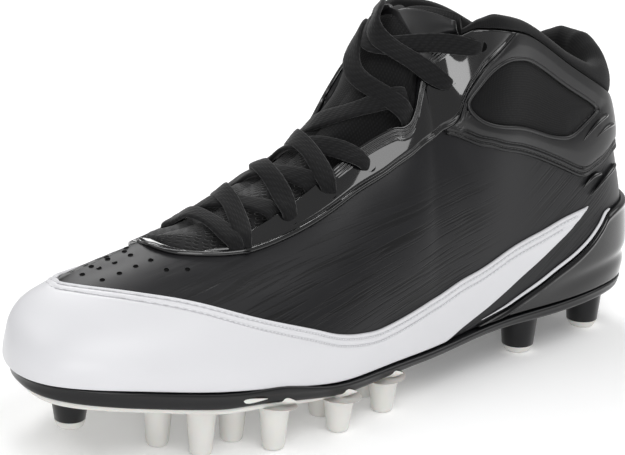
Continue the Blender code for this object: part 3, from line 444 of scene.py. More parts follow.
def round_heel(found):
    """The shares from the heel forward, on both sides of it, as one run of u."""
    return np.concatenate([-found[:0:-1], found]) % 2


def relief(u, t):
    """Sum of soft creases: height * exp(-(distance along / half length)^2 - (across / half width)^2)."""
    a = share_of(u)
    total = np.zeros(np.broadcast(u, t).shape)
    for at, up, long, wide, tilt, height in CREASES:
        along = a - at
        across = t - up - tilt * along
        total = total + height * MM * np.exp(-(along / long)**2 - (across / wide)**2)
    return total


def wrapped(grid, round_u, round_v):
    """The grid with its first row or column repeated after its last, where it is round."""
    if round_u:
        grid = np.concatenate([grid, grid[:1]], axis=0)
    if round_v:
        grid = np.concatenate([grid, grid[:, :1]], axis=1)
    return grid


def lengths(points, axis):
    """Running length of a grid along one axis, averaged over the other."""
    steps = np.linalg.norm(np.diff(points, axis=axis), axis=-1).mean(axis=1 - axis)
    return np.concatenate([[0], np.cumsum(steps)])


def surface(name, points, look, round_u=False, round_v=True, capped=(True, True), skip=None, inner=None):
    """A mesh from a grid of points: square i, j joins four neighbours, and round directions wrap.

    UV is the length in metres along u and along v. The first and last rings are closed by a fan
    when capped. skip marks squares to leave out, and inner those that take the second material.
    """
    nu, nv = points.shape[:2]
    counts = (nu if round_u else nu - 1, nv if round_v else nv - 1)
    i, j = np.meshgrid(np.arange(counts[0]), np.arange(counts[1]), indexing="ij")
    k = (i + 1) % nu
    m = (j + 1) % nv
    quads = np.stack([i * nv + j, k * nv + j, k * nv + m, i * nv + m], -1).reshape(-1, 4)
    along = lengths(wrapped(points, round_u, round_v), 0)
    up = lengths(wrapped(points, round_u, round_v), 1)
    uv = np.stack([
        np.stack([along[i], up[j]], -1), np.stack([along[i + 1], up[j]], -1),
        np.stack([along[i + 1], up[j + 1]], -1), np.stack([along[i], up[j + 1]], -1),
    ], -2).reshape(-1, 4, 2)
    second = np.zeros(len(quads), int) if inner is None else inner.reshape(-1).astype(int)
    if skip is not None:
        keep = ~skip.reshape(-1)
        quads = quads[keep]
        uv = uv[keep]
        second = second[keep]
    verts = points.reshape(-1, 3)
    corners = verts[quads]
    tris = np.concatenate([corners[:, [0, 1, 2]], corners[:, [0, 2, 3]]])
    caps = []
    if round_v and not round_u:
        ends = (np.arange(nv)[::-1], (nu - 1) * nv + np.arange(nv))
        caps = [ring for ring, closed in zip(ends, capped) if closed]
        for ring in caps:
            centre = verts[ring].mean(axis=0)
            fan = np.stack([np.broadcast_to(centre, (nv, 3)), verts[ring], verts[np.roll(ring, -1)]], 1)
            tris = np.concatenate([tris, fan])
    if np.einsum("ij,ij->i", tris[:, 0], np.cross(tris[:, 1], tris[:, 2])).sum() < 0:
        quads = quads[:, ::-1]
        uv = uv[:, ::-1]
        caps = [ring[::-1] for ring in caps]
    faces = [tuple(face) for face in quads.tolist()]
    extra = []
    start = len(verts)
    for ring in caps:
        extra.append(verts[ring].mean(axis=0))
        faces += list(zip([start] * nv, ring.tolist(), np.roll(ring, -1).tolist()))
        start += 1
    if extra:
        verts = np.concatenate([verts, np.array(extra)])
    made = linked(name, verts, faces, *(look if isinstance(look, list) else [look]))
    mesh = made.data
    uv = uv.reshape(-1, 2)
    uv = np.concatenate([uv, np.zeros((len(mesh.loops) - len(uv), 2))])
    mesh.uv_layers.new(name="UVMap").data.foreach_set("uv", uv.ravel())
    second = np.concatenate([second, np.zeros(len(faces) - len(second), int)])
    mesh.polygons.foreach_set("material_index", second)
    weld(made)
    return made


def weld(piece):
    """Joins doubled points, so that poles and seams are closed."""
    bm = bmesh.new()
    bm.from_mesh(piece.data)
    bmesh.ops.remove_doubles(bm, verts=bm.verts[:], dist=2e-6)
    bmesh.ops.dissolve_degenerate(bm, edges=bm.edges[:], dist=1e-7)
    bm.to_mesh(piece.data)
    bm.free()
    piece.data.update()


def point_attribute(piece, name, value):
    """A float on each point, worked out from its shares of LENGTH and HEIGHT."""
    co = np.empty(len(piece.data.vertices) * 3, np.float32)
    piece.data.vertices.foreach_get("co", co)
    co = co.reshape(-1, 3)
    found = value((co[:, 0] - SHIFT[0]) / LENGTH, co[:, 2] / HEIGHT)
    attribute = piece.data.attributes.new(name, "FLOAT", "POINT")
    attribute.data.foreach_set("value", found.astype(np.float32))


def settle(piece, slot, *nodes):
    """Fixes a piece to the shoe, names its finish and hides the plain solids that it stands for."""
    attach(piece, "root")
    if nodes:
        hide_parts(*nodes)
    return piece


def at_side(a, sign):
    """Shares u of the outer side (1) or the inner side (-1)."""
    return a if sign > 0 else 2 - a


def slab(u, t, far, near):
    """Closed sections on the skin: out at far, and back at near."""
    return np.concatenate([skin(u, t, far), skin(u, t, near)[:, ::-1]], axis=1)


def run_of(path):
    """Running length along a path."""
    return np.concatenate([[0], np.cumsum(np.linalg.norm(np.diff(path, axis=0), axis=1))])


def panel_rows(us, low, high, steps, middle, free_high):
    """Heights t of a panel's rows: fine steps in from each edge, then even ones between.

    An upper edge that meets its mirror on the crest is no edge: 20 mm is added to its distance.
    """
    probe = low[:, None] + (high - low)[:, None] * np.linspace(0, 1, 9)
    path = skin(us[:, None], probe)
    span = np.maximum(np.linalg.norm(np.diff(path, axis=1), axis=-1).sum(axis=1), 1e-7)
    shrink = np.minimum(1, span / (2.5 * steps[-1]))
    near = steps[None, :] * shrink[:, None] / span[:, None]
    inside = near[:, -1:] + (1 - 2 * near[:, -1:]) * np.linspace(0, 1, middle + 2)[None, 1:-1]
    s = np.concatenate([near, inside, 1 - near[:, ::-1]], axis=1)
    t = low[:, None] + (high - low)[:, None] * s
    from_low = s * span[:, None]
    from_high = (1 - s) * span[:, None] + free_high[:, None] * 0.02
    return t, from_low, from_high


def panel(name, us, low, high, base, thick, look, middle=20, steps=EDGE_STEPS, radius=0.9 * MM,
          extra=None, round_u=False, lining=False):
    """A panel of the upper: a closed section loop carried round the foot.

    The outside lies base + thick out, falls to base along a quarter round of the radius at each
    edge, and extra(u, t, from_low, from_high) is added to it. The inside lies at base.
    """
    us = np.asarray(us, float)
    low = np.broadcast_to(np.asarray(low, float), us.shape)
    high = np.broadcast_to(np.asarray(high, float), us.shape)
    merged = (high >= 1 - CLOSE) & (share_of(us) >= CREST - CLOSE)
    t, from_low, from_high = panel_rows(us, low, high, steps, middle, merged.astype(float))
    edge = np.minimum(from_low, from_high)
    fall = np.sqrt(np.clip(1 - (1 - np.clip(edge / radius, 0, 1))**2, 0, 1))
    u = us[:, None] + 0 * t
    rise = relief(u, t)
    far = base + thick * fall + rise
    if extra is not None:
        far = far + extra(u, t, from_low, from_high) * np.clip(fall * 1.5, 0, 1)
    points = slab(u, t, far, base + rise)
    rows = t.shape[1]
    n = len(us)
    squares = (n if round_u else n - 1, 2 * rows)
    skip = np.zeros(squares, bool)
    k = (np.arange(squares[0]) + 1) % n
    skip[:, rows - 1] = merged[:squares[0]] & merged[k]
    back = np.zeros(squares, bool)
    if lining:
        back[:, rows:] = True
    return surface(name, points, look, round_u=round_u, skip=skip, inner=back)


def groove(distance, at, width, depth):
    """A round-bottomed line: -depth * exp(-((distance - at) / width)^2)."""
    return -depth * np.exp(-((distance - at) / width)**2)


def linear(code):
    """sRGB hex to linear: c / 12.92 up to 0.04045, and ((c + 0.055) / 1.055)^2.4 above."""
    c = np.array([int(code[i:i + 2], 16) for i in (1, 3, 5)]) / 255
    return tuple(float(v) for v in np.where(c <= 0.04045, c / 12.92, ((c + 0.055) / 1.055)**2.4))


def node(material, kind, inputs=None, out=0, **settings):
    """Adds a node with its settings, sets or links its inputs, and gives one of its outputs."""
    made = material.node_tree.nodes.new("ShaderNode" + kind)
    for key, value in settings.items():
        setattr(made, key, value)
    for key, value in (inputs or {}).items():
        if isinstance(value, bpy.types.NodeSocket):
            material.node_tree.links.new(value, made.inputs[key])
        else:
            made.inputs[key].default_value = value
    return made.outputs[out]


def principled(name, **inputs):
    """A material, its Principled shader with its own sockets set, and the Object coordinates."""
    material = bpy.data.materials.new(name)
    material.use_nodes = True
    shader = material.node_tree.nodes["Principled BSDF"]
    for key, value in inputs.items():
        shader.inputs[key.replace("_", " ").title().replace("Ior", "IOR")].default_value = value
    return material, shader, node(material, "TexCoord", out="Object")


def wire(material, shader, colour, roughness=None, bump=None):
    """Links colour, roughness and bump into the shader."""
    for key, value in (("Base Color", colour), ("Roughness", roughness), ("Normal", bump)):
        if value is not None:
            material.node_tree.links.new(value, shader.inputs[key])


def toned(colour, share):
    """The colour times share, opaque, and past 1 with a trace of grey: 0.002 * (share - 1)."""
    grey = 0.002 * max(share - 1, 0)
    return (*(min(1.0, c * share + grey) for c in colour[:3]), 1.0)


def brushed_lines(material, place, degrees, name):
    """Straight pressed lines in the shoe's side view, 1 mm apart and about 40 mm long, that rise
    towards the heel by degrees. They show where the named attribute is 1."""
    turned = node(material, "Mapping", {
        "Vector": place, "Rotation": (0.0, math.radians(degrees), 0.0), "Scale": (40 * MM, 1000.0, 1.0 * MM),
    }, vector_type="TEXTURE")
    streaks = node(material, "TexNoise", {"Vector": turned, "Scale": 1.0, "Detail": 1.0})
    sharp = node(material, "MapRange", {0: streaks, 1: 0.50, 2: 0.60})
    mask = node(material, "Attribute", out="Fac", attribute_name=name)
    return node(material, "Math", {0: sharp, 1: mask}, operation="MULTIPLY")


def coated_synthetic(colour):
    """Polyurethane-coated synthetic leather, pressed with brushed lines: dull black, satin in the light."""
    material, shader, place = principled("coated_synthetic_leather", roughness=0.42, specular_ior_level=0.30)
    cloud = node(material, "TexNoise", {"Vector": place, "Scale": 45.0, "Detail": 3.0})
    fore = brushed_lines(material, place, 12.0, "brushed_fore")
    rear = brushed_lines(material, place, 34.0, "brushed_rear")
    lines = node(material, "Math", {0: fore, 1: rear}, operation="MAXIMUM")
    pebbles = node(material, "TexVoronoi", {"Vector": place, "Scale": 1 / (0.8 * MM)})
    grain = node(material, "Bump", {"Height": pebbles, "Strength": 0.10, "Distance": 0.06 * MM})
    bump = node(material, "Bump", {"Height": lines, "Normal": grain, "Strength": 0.5, "Distance": 0.2 * MM},
                invert=True)
    tint = node(material, "Mix", {0: cloud, 6: colour, 7: toned(colour, 1.4)}, 2, data_type="RGBA")
    # The pressed lines are darkened to 0.45 of the colour: painted shade in their grooves.
    tint = node(material, "Mix", {0: lines, 6: tint, 7: toned(colour, 0.45)}, 2, data_type="RGBA")
    wire(material, shader, tint, node(material, "MapRange", {0: cloud, 3: 0.34, 4: 0.44}), bump)
    return material


def patent_synthetic(name, colour, mirror):
    """Patent synthetic: a clear lacquer over black, slightly wavy, so that it mirrors pale patches."""
    material, shader, place = principled(name, roughness=0.2, coat_weight=1.0, coat_roughness=0.05,
                                         coat_ior=mirror, specular_ior_level=0.05)
    broad = node(material, "TexNoise", {"Vector": place, "Scale": 70.0, "Detail": 1.0})
    fine = node(material, "TexNoise", {"Vector": place, "Scale": 900.0, "Detail": 2.0})
    wavy = node(material, "Bump", {"Height": broad, "Strength": 0.35, "Distance": 0.5 * MM})
    bump = node(material, "Bump", {"Height": fine, "Normal": wavy, "Strength": 0.12, "Distance": 0.05 * MM})
    tint = node(material, "Mix", {0: broad, 6: colour, 7: toned(colour, 1.3)}, 2, data_type="RGBA")
    wire(material, shader, tint, node(material, "MapRange", {0: fine, 3: 0.14, 4: 0.28}), bump)
    return material


def white_synthetic(colour):
    """Smooth white coated synthetic: satin, with a very fine pressed grain and faint handling marks."""
    material, shader, place = principled("white_coated_synthetic", roughness=0.4, coat_weight=0.12,
                                         coat_roughness=0.3)
    cloud = node(material, "TexNoise", {"Vector": place, "Scale": 28.0, "Detail": 4.0})
    pebbles = node(material, "TexVoronoi", {"Vector": place, "Scale": 1 / (0.6 * MM)})
    bump = node(material, "Bump", {"Height": pebbles, "Strength": 0.10, "Distance": 0.04 * MM})
    tint = node(material, "Mix", {0: cloud, 6: toned(colour, 0.93), 7: colour}, 2, data_type="RGBA")
    wire(material, shader, tint, node(material, "MapRange", {0: cloud, 3: 0.34, 4: 0.46}), bump)
    return material


def satin_synthetic(colour):
    """Soft satin synthetic over foam: dark grey in the light, with long soft reflections."""
    material, shader, place = principled("satin_padded_synthetic", roughness=0.36, coat_weight=0.2,
                                         coat_roughness=0.2, specular_ior_level=0.35)
    broad = node(material, "TexNoise", {"Vector": place, "Scale": 60.0, "Detail": 2.0})
    pebbles = node(material, "TexVoronoi", {"Vector": place, "Scale": 1 / (0.7 * MM)})
    wavy = node(material, "Bump", {"Height": broad, "Strength": 0.25, "Distance": 0.4 * MM})
    bump = node(material, "Bump", {
        "Height": pebbles, "Normal": wavy, "Strength": 0.08, "Distance": 0.04 * MM})
    tint = node(material, "Mix", {0: broad, 6: colour, 7: toned(colour, 1.25)}, 2, data_type="RGBA")
    wire(material, shader, tint, node(material, "MapRange", {0: broad, 3: 0.30, 4: 0.42}), bump)
    return material


def knit_textile(name, colour, pitch, strength):
    """Polyester knit, drawn coarse to show: two crossed thread waves pitch mm apart, and lint."""
    material, shader, place = principled(name, roughness=0.88, sheen_weight=0.08, sheen_roughness=0.5,
                                         specular_ior_level=0.2)
    flat = node(material, "TexCoord", out="UV")
    scale = WAVE_PERIOD / (pitch * MM)
    threads = [node(material, "TexWave", {"Vector": flat, "Scale": scale, "Distortion": 0.6}, "Fac",
                    bands_direction=axis) for axis in "XY"]
    crossed = node(material, "Math", {0: threads[0], 1: threads[1]}, operation="MULTIPLY")
    lint = node(material, "TexNoise", {"Vector": place, "Scale": 1 / (1.2 * MM), "Detail": 3.0})
    total = node(material, "Math", {0: crossed, 1: lint}, operation="ADD")
    shade = node(material, "MapRange", {0: crossed, 1: 0.05, 2: 0.75})
    tint = node(material, "Mix", {0: shade, 6: toned(colour, 0.55), 7: toned(colour, 1.5)}, 2,
                data_type="RGBA")
    bump = node(material, "Bump", {"Height": total, "Strength": strength, "Distance": 0.25 * MM})
    wire(material, shader, tint, bump=bump)
    return material


def slotted_mesh(colour):
    """Spacer mesh with slanted long holes, 3.4 mm apart along the row and 1.5 mm across."""
    material, shader, _ = principled("spacer_mesh", roughness=0.7, sheen_weight=0.2, specular_ior_level=0.4)
    turned = node(material, "Mapping", {
        "Vector": node(material, "TexCoord", out="UV"), "Rotation": (0.0, 0.0, math.radians(28)),
        "Scale": (3.4 * MM, 1.5 * MM, 1.0),
    }, vector_type="TEXTURE")
    slots = node(material, "TexVoronoi", {"Vector": turned, "Scale": 1.0, "Randomness": 0.25},
                 voronoi_dimensions="2D")
    threads = node(material, "MapRange", {0: slots, 1: 0.24, 2: 0.36})
    # Near-black in the slots: painted shade inside the holes.
    dark = toned(linear("#030303"), 1.0)
    tint = node(material, "Mix", {0: threads, 6: dark, 7: toned(colour, 1.8)}, 2, data_type="RGBA")
    wire(material, shader, tint,
         bump=node(material, "Bump", {"Height": threads, "Strength": 1.0, "Distance": 0.6 * MM}))
    return material


def flat_webbing(colour):
    """Flat polyester lace: ribs along it 1 mm apart and slanted picks across, dull with a little lint."""
    material, shader, place = principled("lace_webbing", roughness=0.86, sheen_weight=0.15,
                                         sheen_roughness=0.45, specular_ior_level=0.2)
    flat = node(material, "TexCoord", out="UV")
    ribs = node(material, "TexWave", {"Vector": flat, "Scale": WAVE_PERIOD / (1.0 * MM), "Distortion": 0.4},
                "Fac", bands_direction="Y")
    picks = node(material, "TexWave", {"Vector": flat, "Scale": SLANT_PERIOD / (0.8 * MM), "Distortion": 0.8},
                 "Fac", bands_direction="DIAGONAL")
    woven = node(material, "Math", {0: ribs, 1: picks}, operation="MULTIPLY")
    lint = node(material, "TexNoise", {"Vector": place, "Scale": 1 / (0.9 * MM), "Detail": 3.0})
    total = node(material, "Math", {0: woven, 1: lint}, operation="ADD")
    shade = node(material, "MapRange", {0: total, 1: 0.35, 2: 1.0})
    tint = node(material, "Mix", {0: shade, 6: toned(colour, 0.7), 7: toned(colour, 1.5)}, 2,
                data_type="RGBA")
    wire(material, shader, tint,
         bump=node(material, "Bump", {"Height": total, "Strength": 0.45, "Distance": 0.2 * MM}))
    return material


def moulded_plastic(name, colour, roughness, glow=0.0):
    """Moulded thermoplastic polyurethane: even colour, fine spark texture, soft edges to its highlights."""
    material, shader, place = principled(name, roughness=roughness, coat_weight=0.08, coat_roughness=0.15,
                                         subsurface_weight=glow, specular_ior_level=0.3)
    shader.inputs["Subsurface Scale"].default_value = 2.0 * MM
    spark = node(material, "TexNoise", {"Vector": place, "Scale": 1 / (0.7 * MM), "Detail": 2.0})
    cloud = node(material, "TexNoise", {"Vector": place, "Scale": 60.0, "Detail": 2.0})
    bump = node(material, "Bump", {"Height": spark, "Strength": 0.12, "Distance": 0.06 * MM})
    tint = node(material, "Mix", {0: cloud, 6: toned(colour, 0.9), 7: colour}, 2, data_type="RGBA")
    rough = node(material, "MapRange", {0: cloud, 3: roughness - 0.05, 4: roughness + 0.06})
    wire(material, shader, tint, rough, bump)
    return material


def thread(name, colour):
    """Twisted polyester sewing thread: dull, with slanted plies 0.4 mm apart."""
    material, shader, place = principled(name, roughness=0.7, sheen_weight=0.2)
    plies = node(material, "TexWave", {"Vector": place, "Scale": SLANT_PERIOD / (0.4 * MM)}, "Fac",
                 bands_direction="DIAGONAL")
    tint = node(material, "Mix", {0: plies, 6: toned(colour, 0.75), 7: colour}, 2, data_type="RGBA")
    wire(material, shader, tint,
         bump=node(material, "Bump", {"Height": plies, "Strength": 0.4, "Distance": 0.08 * MM}))
    return material


def punched_pit():
    """Inside of a punched hole: felt backing in deep shade."""
    material, shader, place = principled("punched_hole_painted_shade", roughness=0.95, specular_ior_level=0.1)
    shade_mottle = node(material, "TexNoise", {"Vector": place, "Scale": 1 / (0.8 * MM)})
    # Both tones are near-black: painted shade inside the hole.
    dark = toned(linear("#030303"), 1.0)
    pale = toned(linear("#0a0a0a"), 1.0)
    wire(material, shader, node(material, "Mix", {0: shade_mottle, 6: dark, 7: pale}, 2, data_type="RGBA"))
    return material


LOOKS = {}


def finish(name):
    """One of the shoe's materials. All are made once from the colours in the panel."""
    if not LOOKS:
        group = bpy.context.scene.cleat_colours
        paint = {key: (*getattr(group, key), 1.0) for key in group.__annotations__}
        LOOKS.update(
            synthetic=coated_synthetic(paint["synthetic"]),
            patent=patent_synthetic("patent_synthetic", paint["patent"], 1.6),
            moulded=patent_synthetic("moulded_gloss_film", paint["patent"], 1.45),
            white=white_synthetic(paint["white"]),
            satin=satin_synthetic(paint["satin"]),
            knit=knit_textile("collar_knit", paint["textile"], 0.7, 0.25),
            lining=knit_textile("lining_knit", paint["textile"], 1.2, 0.3),
            mesh=slotted_mesh(paint["textile"]),
            lace=flat_webbing(paint["lace"]),
            black_plastic=moulded_plastic("black_thermoplastic", paint["black_plastic"], 0.3),
            white_plastic=moulded_plastic("white_thermoplastic", paint["white_plastic"], 0.34, 0.15),
            pit=punched_pit(),
            white_thread=thread("white_thread", paint["white"]),
            black_thread=thread("black_thread", paint["textile"]),
        )
    return LOOKS[name]


def merge(pieces, name):
    """Joins several meshes into the first, under a name."""
    with bpy.context.temp_override(active_object=pieces[0], selected_editable_objects=pieces):
        bpy.ops.object.join()
    pieces[0].name = name
    return pieces[0]


def linked(name, verts, faces, *materials):
    """A smooth mesh object with its materials."""
    mesh = bpy.data.meshes.new(name)
    mesh.from_pydata(verts.tolist(), [], faces)
    mesh.polygons.foreach_set("use_smooth", np.ones(len(faces), bool))
    for one in materials:
        mesh.materials.append(one)
    made = bpy.data.objects.new(name, mesh)
    bpy.context.scene.collection.objects.link(made)
    return made


def scatter(name, places, along, face, size, look):
    """Small lozenges of thread: six rings of five points at each place, turned to its along and face."""
    sides = 5
    pill = np.array([(-1.0, 0.25), (-0.8, 0.75), (-0.35, 1.0), (0.35, 1.0), (0.8, 0.75), (1.0, 0.25)])
    turn = np.linspace(0, 2 * np.pi, sides, endpoint=False)
    x = np.repeat(pill[:, 0], sides) * size[0] / 2
    y = np.outer(pill[:, 1], np.cos(turn)).ravel() * size[1] / 2
    z = np.outer(pill[:, 1], np.sin(turn)).ravel() * size[2] / 2
    along = unit(along)
    side = unit(np.cross(face, along))
    face = np.cross(along, side)
    verts = (places[:, None] + x[:, None] * along[:, None] + y[:, None] * side[:, None]
             + z[:, None] * face[:, None])
    i, j = np.meshgrid(np.arange(len(pill) - 1), np.arange(sides), indexing="ij")
    i = i * sides
    k = (j + 1) % sides
    quads = np.stack([i + j, i + sides + j, i + sides + k, i + k], -1).reshape(-1, 4)
    caps = np.array([np.arange(sides), np.arange(len(x) - 1, len(x) - 1 - sides, -1)])
    first = len(x) * np.arange(len(places))[:, None, None]
    faces = (quads + first).reshape(-1, 4).tolist() + (caps + first).reshape(-1, sides).tolist()
    made = linked(name, verts.reshape(-1, 3), faces, look)
    bm = bmesh.new()
    bm.from_mesh(made.data)
    bmesh.ops.recalc_face_normals(bm, faces=bm.faces[:])
    bm.to_mesh(made.data)
    bm.free()
    return made


def evenly(path, step):
    """The path's points again, step apart along it."""
    run = run_of(path)
    at = np.linspace(0, run[-1], max(2, int(round(run[-1] / step)) + 1))
    return np.stack([np.interp(at, run, path[:, c]) for c in range(path.shape[1])], -1)


def on_skin(u, t, d, step):
    """Points step apart along the line u, t of the skin, d out, and the way out at each."""
    both = evenly(np.concatenate([skin(u, t, d), skin(u, t, d + MM)], axis=1), step)
    return both[:, :3], both[:, 3:] - both[:, :3]


def sewn(name, u, t, d, look):
    """A row of stitches along the line u, t of the skin, d out: 2.4 mm of thread and a gap."""
    pitch = bpy.context.scene.cleat_sizes.stitch_pitch
    places, face = on_skin(u, t, d, pitch)
    size = (pitch * 0.76, 0.55 * MM, 0.44 * MM)
    return scatter(name, places, np.gradient(places, axis=0), face, size, look)


def tube(name, path, face, wide, thick, look, sides=12, power=2.0):
    """A swept body: ring |x / wide|^power + |y / thick|^power = 1, square to the path."""
    along = unit(np.gradient(path, axis=0))
    side = unit(np.cross(face, along))
    face = unit(np.cross(along, side))
    turn = np.linspace(0, 2 * np.pi, sides, endpoint=False)
    c = np.cos(turn)
    s = np.sin(turn)
    x = np.broadcast_to(wide, len(path))[:, None] * np.sign(c) * np.abs(c)**(2 / power)
    y = np.broadcast_to(thick, len(path))[:, None] * np.sign(s) * np.abs(s)**(2 / power)
    points = path[:, None] + side[:, None] * x[..., None] + face[:, None] * y[..., None]
    return surface(name, points, look)


def skin_tube(name, u, t, d, radius, look, sides=10):
    """A round cord laid on the skin along the line u, t, with its middle d out."""
    path, face = on_skin(u, t, d, 1.6 * MM)
    run = np.linspace(0, 1, len(path))
    taper = np.sqrt(np.clip(1 - (1 - np.clip(np.minimum(run, 1 - run) / 0.02, 0, 1))**2, 0.02, 1))
    return tube(name, path, face, radius * taper, radius * taper, look, sides)


def window_depth(a, t):
    """Metres inside the ankle window: from its low and high edges, over sqrt(1 + slope^2), and its ends."""
    found = []
    for table, sign in ((WINDOW_LOW, 1), (WINDOW_HIGH, -1)):
        slope = (curve(table, a + 0.002) - curve(table, a - 0.002)) / 0.004 * WINDOW_UP / WINDOW_ON
        found.append(sign * (t - curve(table, a)) * WINDOW_UP / np.sqrt(1 + slope**2))
    ends = np.minimum(a - WINDOW_LOW[0][0], WINDOW_LOW[-1][0] - a) * WINDOW_ON
    return np.minimum(np.minimum(*found), ends + 0.5 * MM)


def make_shell():
    """The upper itself: wall, lining inside, soft creases, and the mask of its brushed lines."""
    across = np.unique(np.concatenate([shares(0, 1, 2.2 * MM, CREST), np.linspace(0.762, 0.792, 16)]))
    us = both_sides(across)[:-1]
    high = curve(TOP_EDGE, share_of(us))
    look = [finish("synthetic"), finish("lining")]
    shell = panel("upper_shell", us, 0.0, high, -WALL, WALL, look, middle=46, radius=0.6 * MM,
                  round_u=True, lining=True)

    def fore(x, z):
        return ease((x - 0.26) / 0.10) * ease((0.82 - x) / 0.08) * ease((0.56 - z - 0.3 * (x - 0.6)) / 0.16)

    def rear(x, z):
        return ease((x - 0.04) / 0.06) * ease((0.26 - x) / 0.10) * ease((0.72 - z) / 0.12) * 0.7

    point_attribute(shell, "brushed_fore", fore)
    point_attribute(shell, "brushed_rear", rear)
    return settle(shell, "black_synthetic", "upper")


def make_toe_overlay():
    """The white wrap: rows of thread lie in soft grooves 1.7 and 4.3 mm inside its upper edge."""
    us = both_sides(shares(TOE_HIGH[0][0], 1.0, 2.0 * MM))
    a = share_of(us)
    low = curve(TOE_LOW, a) + 0.004
    high = np.maximum(curve(TOE_HIGH, a), low + 0.001)
    thick = bpy.context.scene.cleat_sizes.overlay_thickness
    rows = np.concatenate([EDGE_STEPS[:6], np.arange(1.2, 6.0, 0.35) * MM])
    # Seams: metres inside the upper edge, share where the thread starts
    seams = ((1.7 * MM, 0.196), (4.3 * MM, 0.222))

    def pressed(u, t, from_low, from_high):
        return sum(groove(from_high, at, 0.55 * MM, 0.35 * MM) for at, _ in seams)

    overlay = panel("toe_wrap", us, low, high, 0.1 * MM, thick, finish("white"), middle=24, steps=rows,
                    radius=0.8 * MM, extra=pressed)
    settle(overlay, "white_synthetic", "toe_overlay")
    for at, start in seams:
        line = inward(TOE_HIGH, shares(start, 0.9505, 1.5 * MM), at)
        sewn_sides("toe_wrap", line, at, thick - 0.02 * MM, "white_thread", "white_synthetic")
    return overlay


def sewn_sides(panel_name, line, at, d, thread_name, slot):
    """The row of stitches at metres inside a panel's edge, on both sides of the shoe."""
    for sign, side in SIDES:
        name = panel_name + "_stitches_" + side + "_" + str(round(at / MM))
        settle(sewn(name, at_side(line[0], sign), line[1], d, finish(thread_name)), slot)


def inward(table, a, at, sign=-1):
    """The line that lies at metres inside an edge of the table, as shares round and up."""
    t = curve(table, a)
    e = 0.002
    high = np.minimum(t + e, 1.0)
    pa = (skin(a + e, t) - skin(a - e, t)) / (2 * e)
    pt = (skin(a, high) - skin(a, t - e)) / (high - t + e)[:, None]
    slope = (curve(table, a + e) - curve(table, a - e)) / (2 * e)
    across = unit(np.cross(unit(np.cross(pa, pt)), pa + pt * slope[:, None]))

    def dot(one, two):
        return np.einsum("ij,ij->i", one, two)

    across = across * np.sign(dot(across, pt))[:, None] * sign
    ra = dot(across, pa)
    rt = dot(across, pt)
    aa = dot(pa, pa)
    mixed_part = dot(pa, pt)
    tt = dot(pt, pt)
    det = aa * tt - mixed_part**2
    da = (tt * ra - mixed_part * rt) / det
    dt = (aa * rt - mixed_part * ra) / det
    return np.clip(a + da * at, 0.0, 1.0), np.clip(t + dt * at, 0.0, 1.0)


def make_eyestay():
    """The glossy stay: a raised lip at its seam, and four pressed ridges along the ankle's throat edge."""
    us = both_sides(shares(STAY_LOW[0][0], STAY_LOW[-1][0], 1.3 * MM))
    a = share_of(us)
    low = curve(STAY_LOW, a)
    high = np.maximum(curve(TOP_EDGE, a), low + 0.001)
    rows = np.concatenate([EDGE_STEPS[:5], np.arange(0.85, 6.6, 0.24) * MM])

    def pressed(u, t, from_low, from_high):
        share = share_of(u)
        band = ease((share - 0.395) / 0.02) * ease((0.575 - share) / 0.02) * ease((5.6 * MM - from_high) / MM)
        ridges = (0.5 + 0.5 * np.cos(2 * np.pi * from_high / (1.3 * MM))) * 0.42 * MM * band
        lip = groove(from_low, 2.3 * MM, 0.5 * MM, 0.4 * MM)
        lip = lip + groove(from_low, 1.2 * MM, 0.6 * MM, -0.25 * MM)
        return ridges + lip

    stay = panel("lace_stay", us, low, high, 0.1 * MM, 1.15 * MM, finish("patent"), middle=10, steps=rows,
                 radius=0.7 * MM, extra=pressed)
    return settle(stay, "patent_leather", "eyestay")


def make_holes():
    """The punched lace holes and toe perforations: a dark hollow dot with a thin rim, on the skin."""
    spots = [(a, t, 1.2 * MM, 2.0 * MM) for a, t in LACE_HOLES]
    spots += [(a, t, 0.0, 1.0 * MM) for a, t in PERFORATIONS]
    sides = 18
    turn = np.linspace(0, 2 * np.pi, sides, endpoint=False)
    profile = ((1.16, -0.20), (1.12, 0.02), (1.06, 0.05), (1.0, 0.04), (0.99, 0.03), (0.01, 0.02))
    made = []
    for k, (a, t, lift, radius) in enumerate(spots):
        for u in (a,) if t > 0.999 else (a, 2 - a):
            mid = skin(u, t)
            ahead = unit(skin(u + 0.003, t) - mid)
            out = unit(skin(u, t, MM) - mid)
            side = np.cross(out, ahead)
            rings = [mid + (ahead * np.cos(turn)[:, None] + side * np.sin(turn)[:, None]) * radius * r
                     + out * (lift + h * MM + float(relief(u, t))) for r, h in profile]
            dark = np.zeros((len(profile) - 1, sides), bool)
            # The inner rings take the pit material: painted shade inside the hole.
            dark[3:] = True
            look = [finish("synthetic"), finish("pit")]
            made.append(surface("hole_" + str(k), np.stack(rings), look, inner=dark))
    return settle(merge(made, "lace_holes_and_perforations"), "black_synthetic")


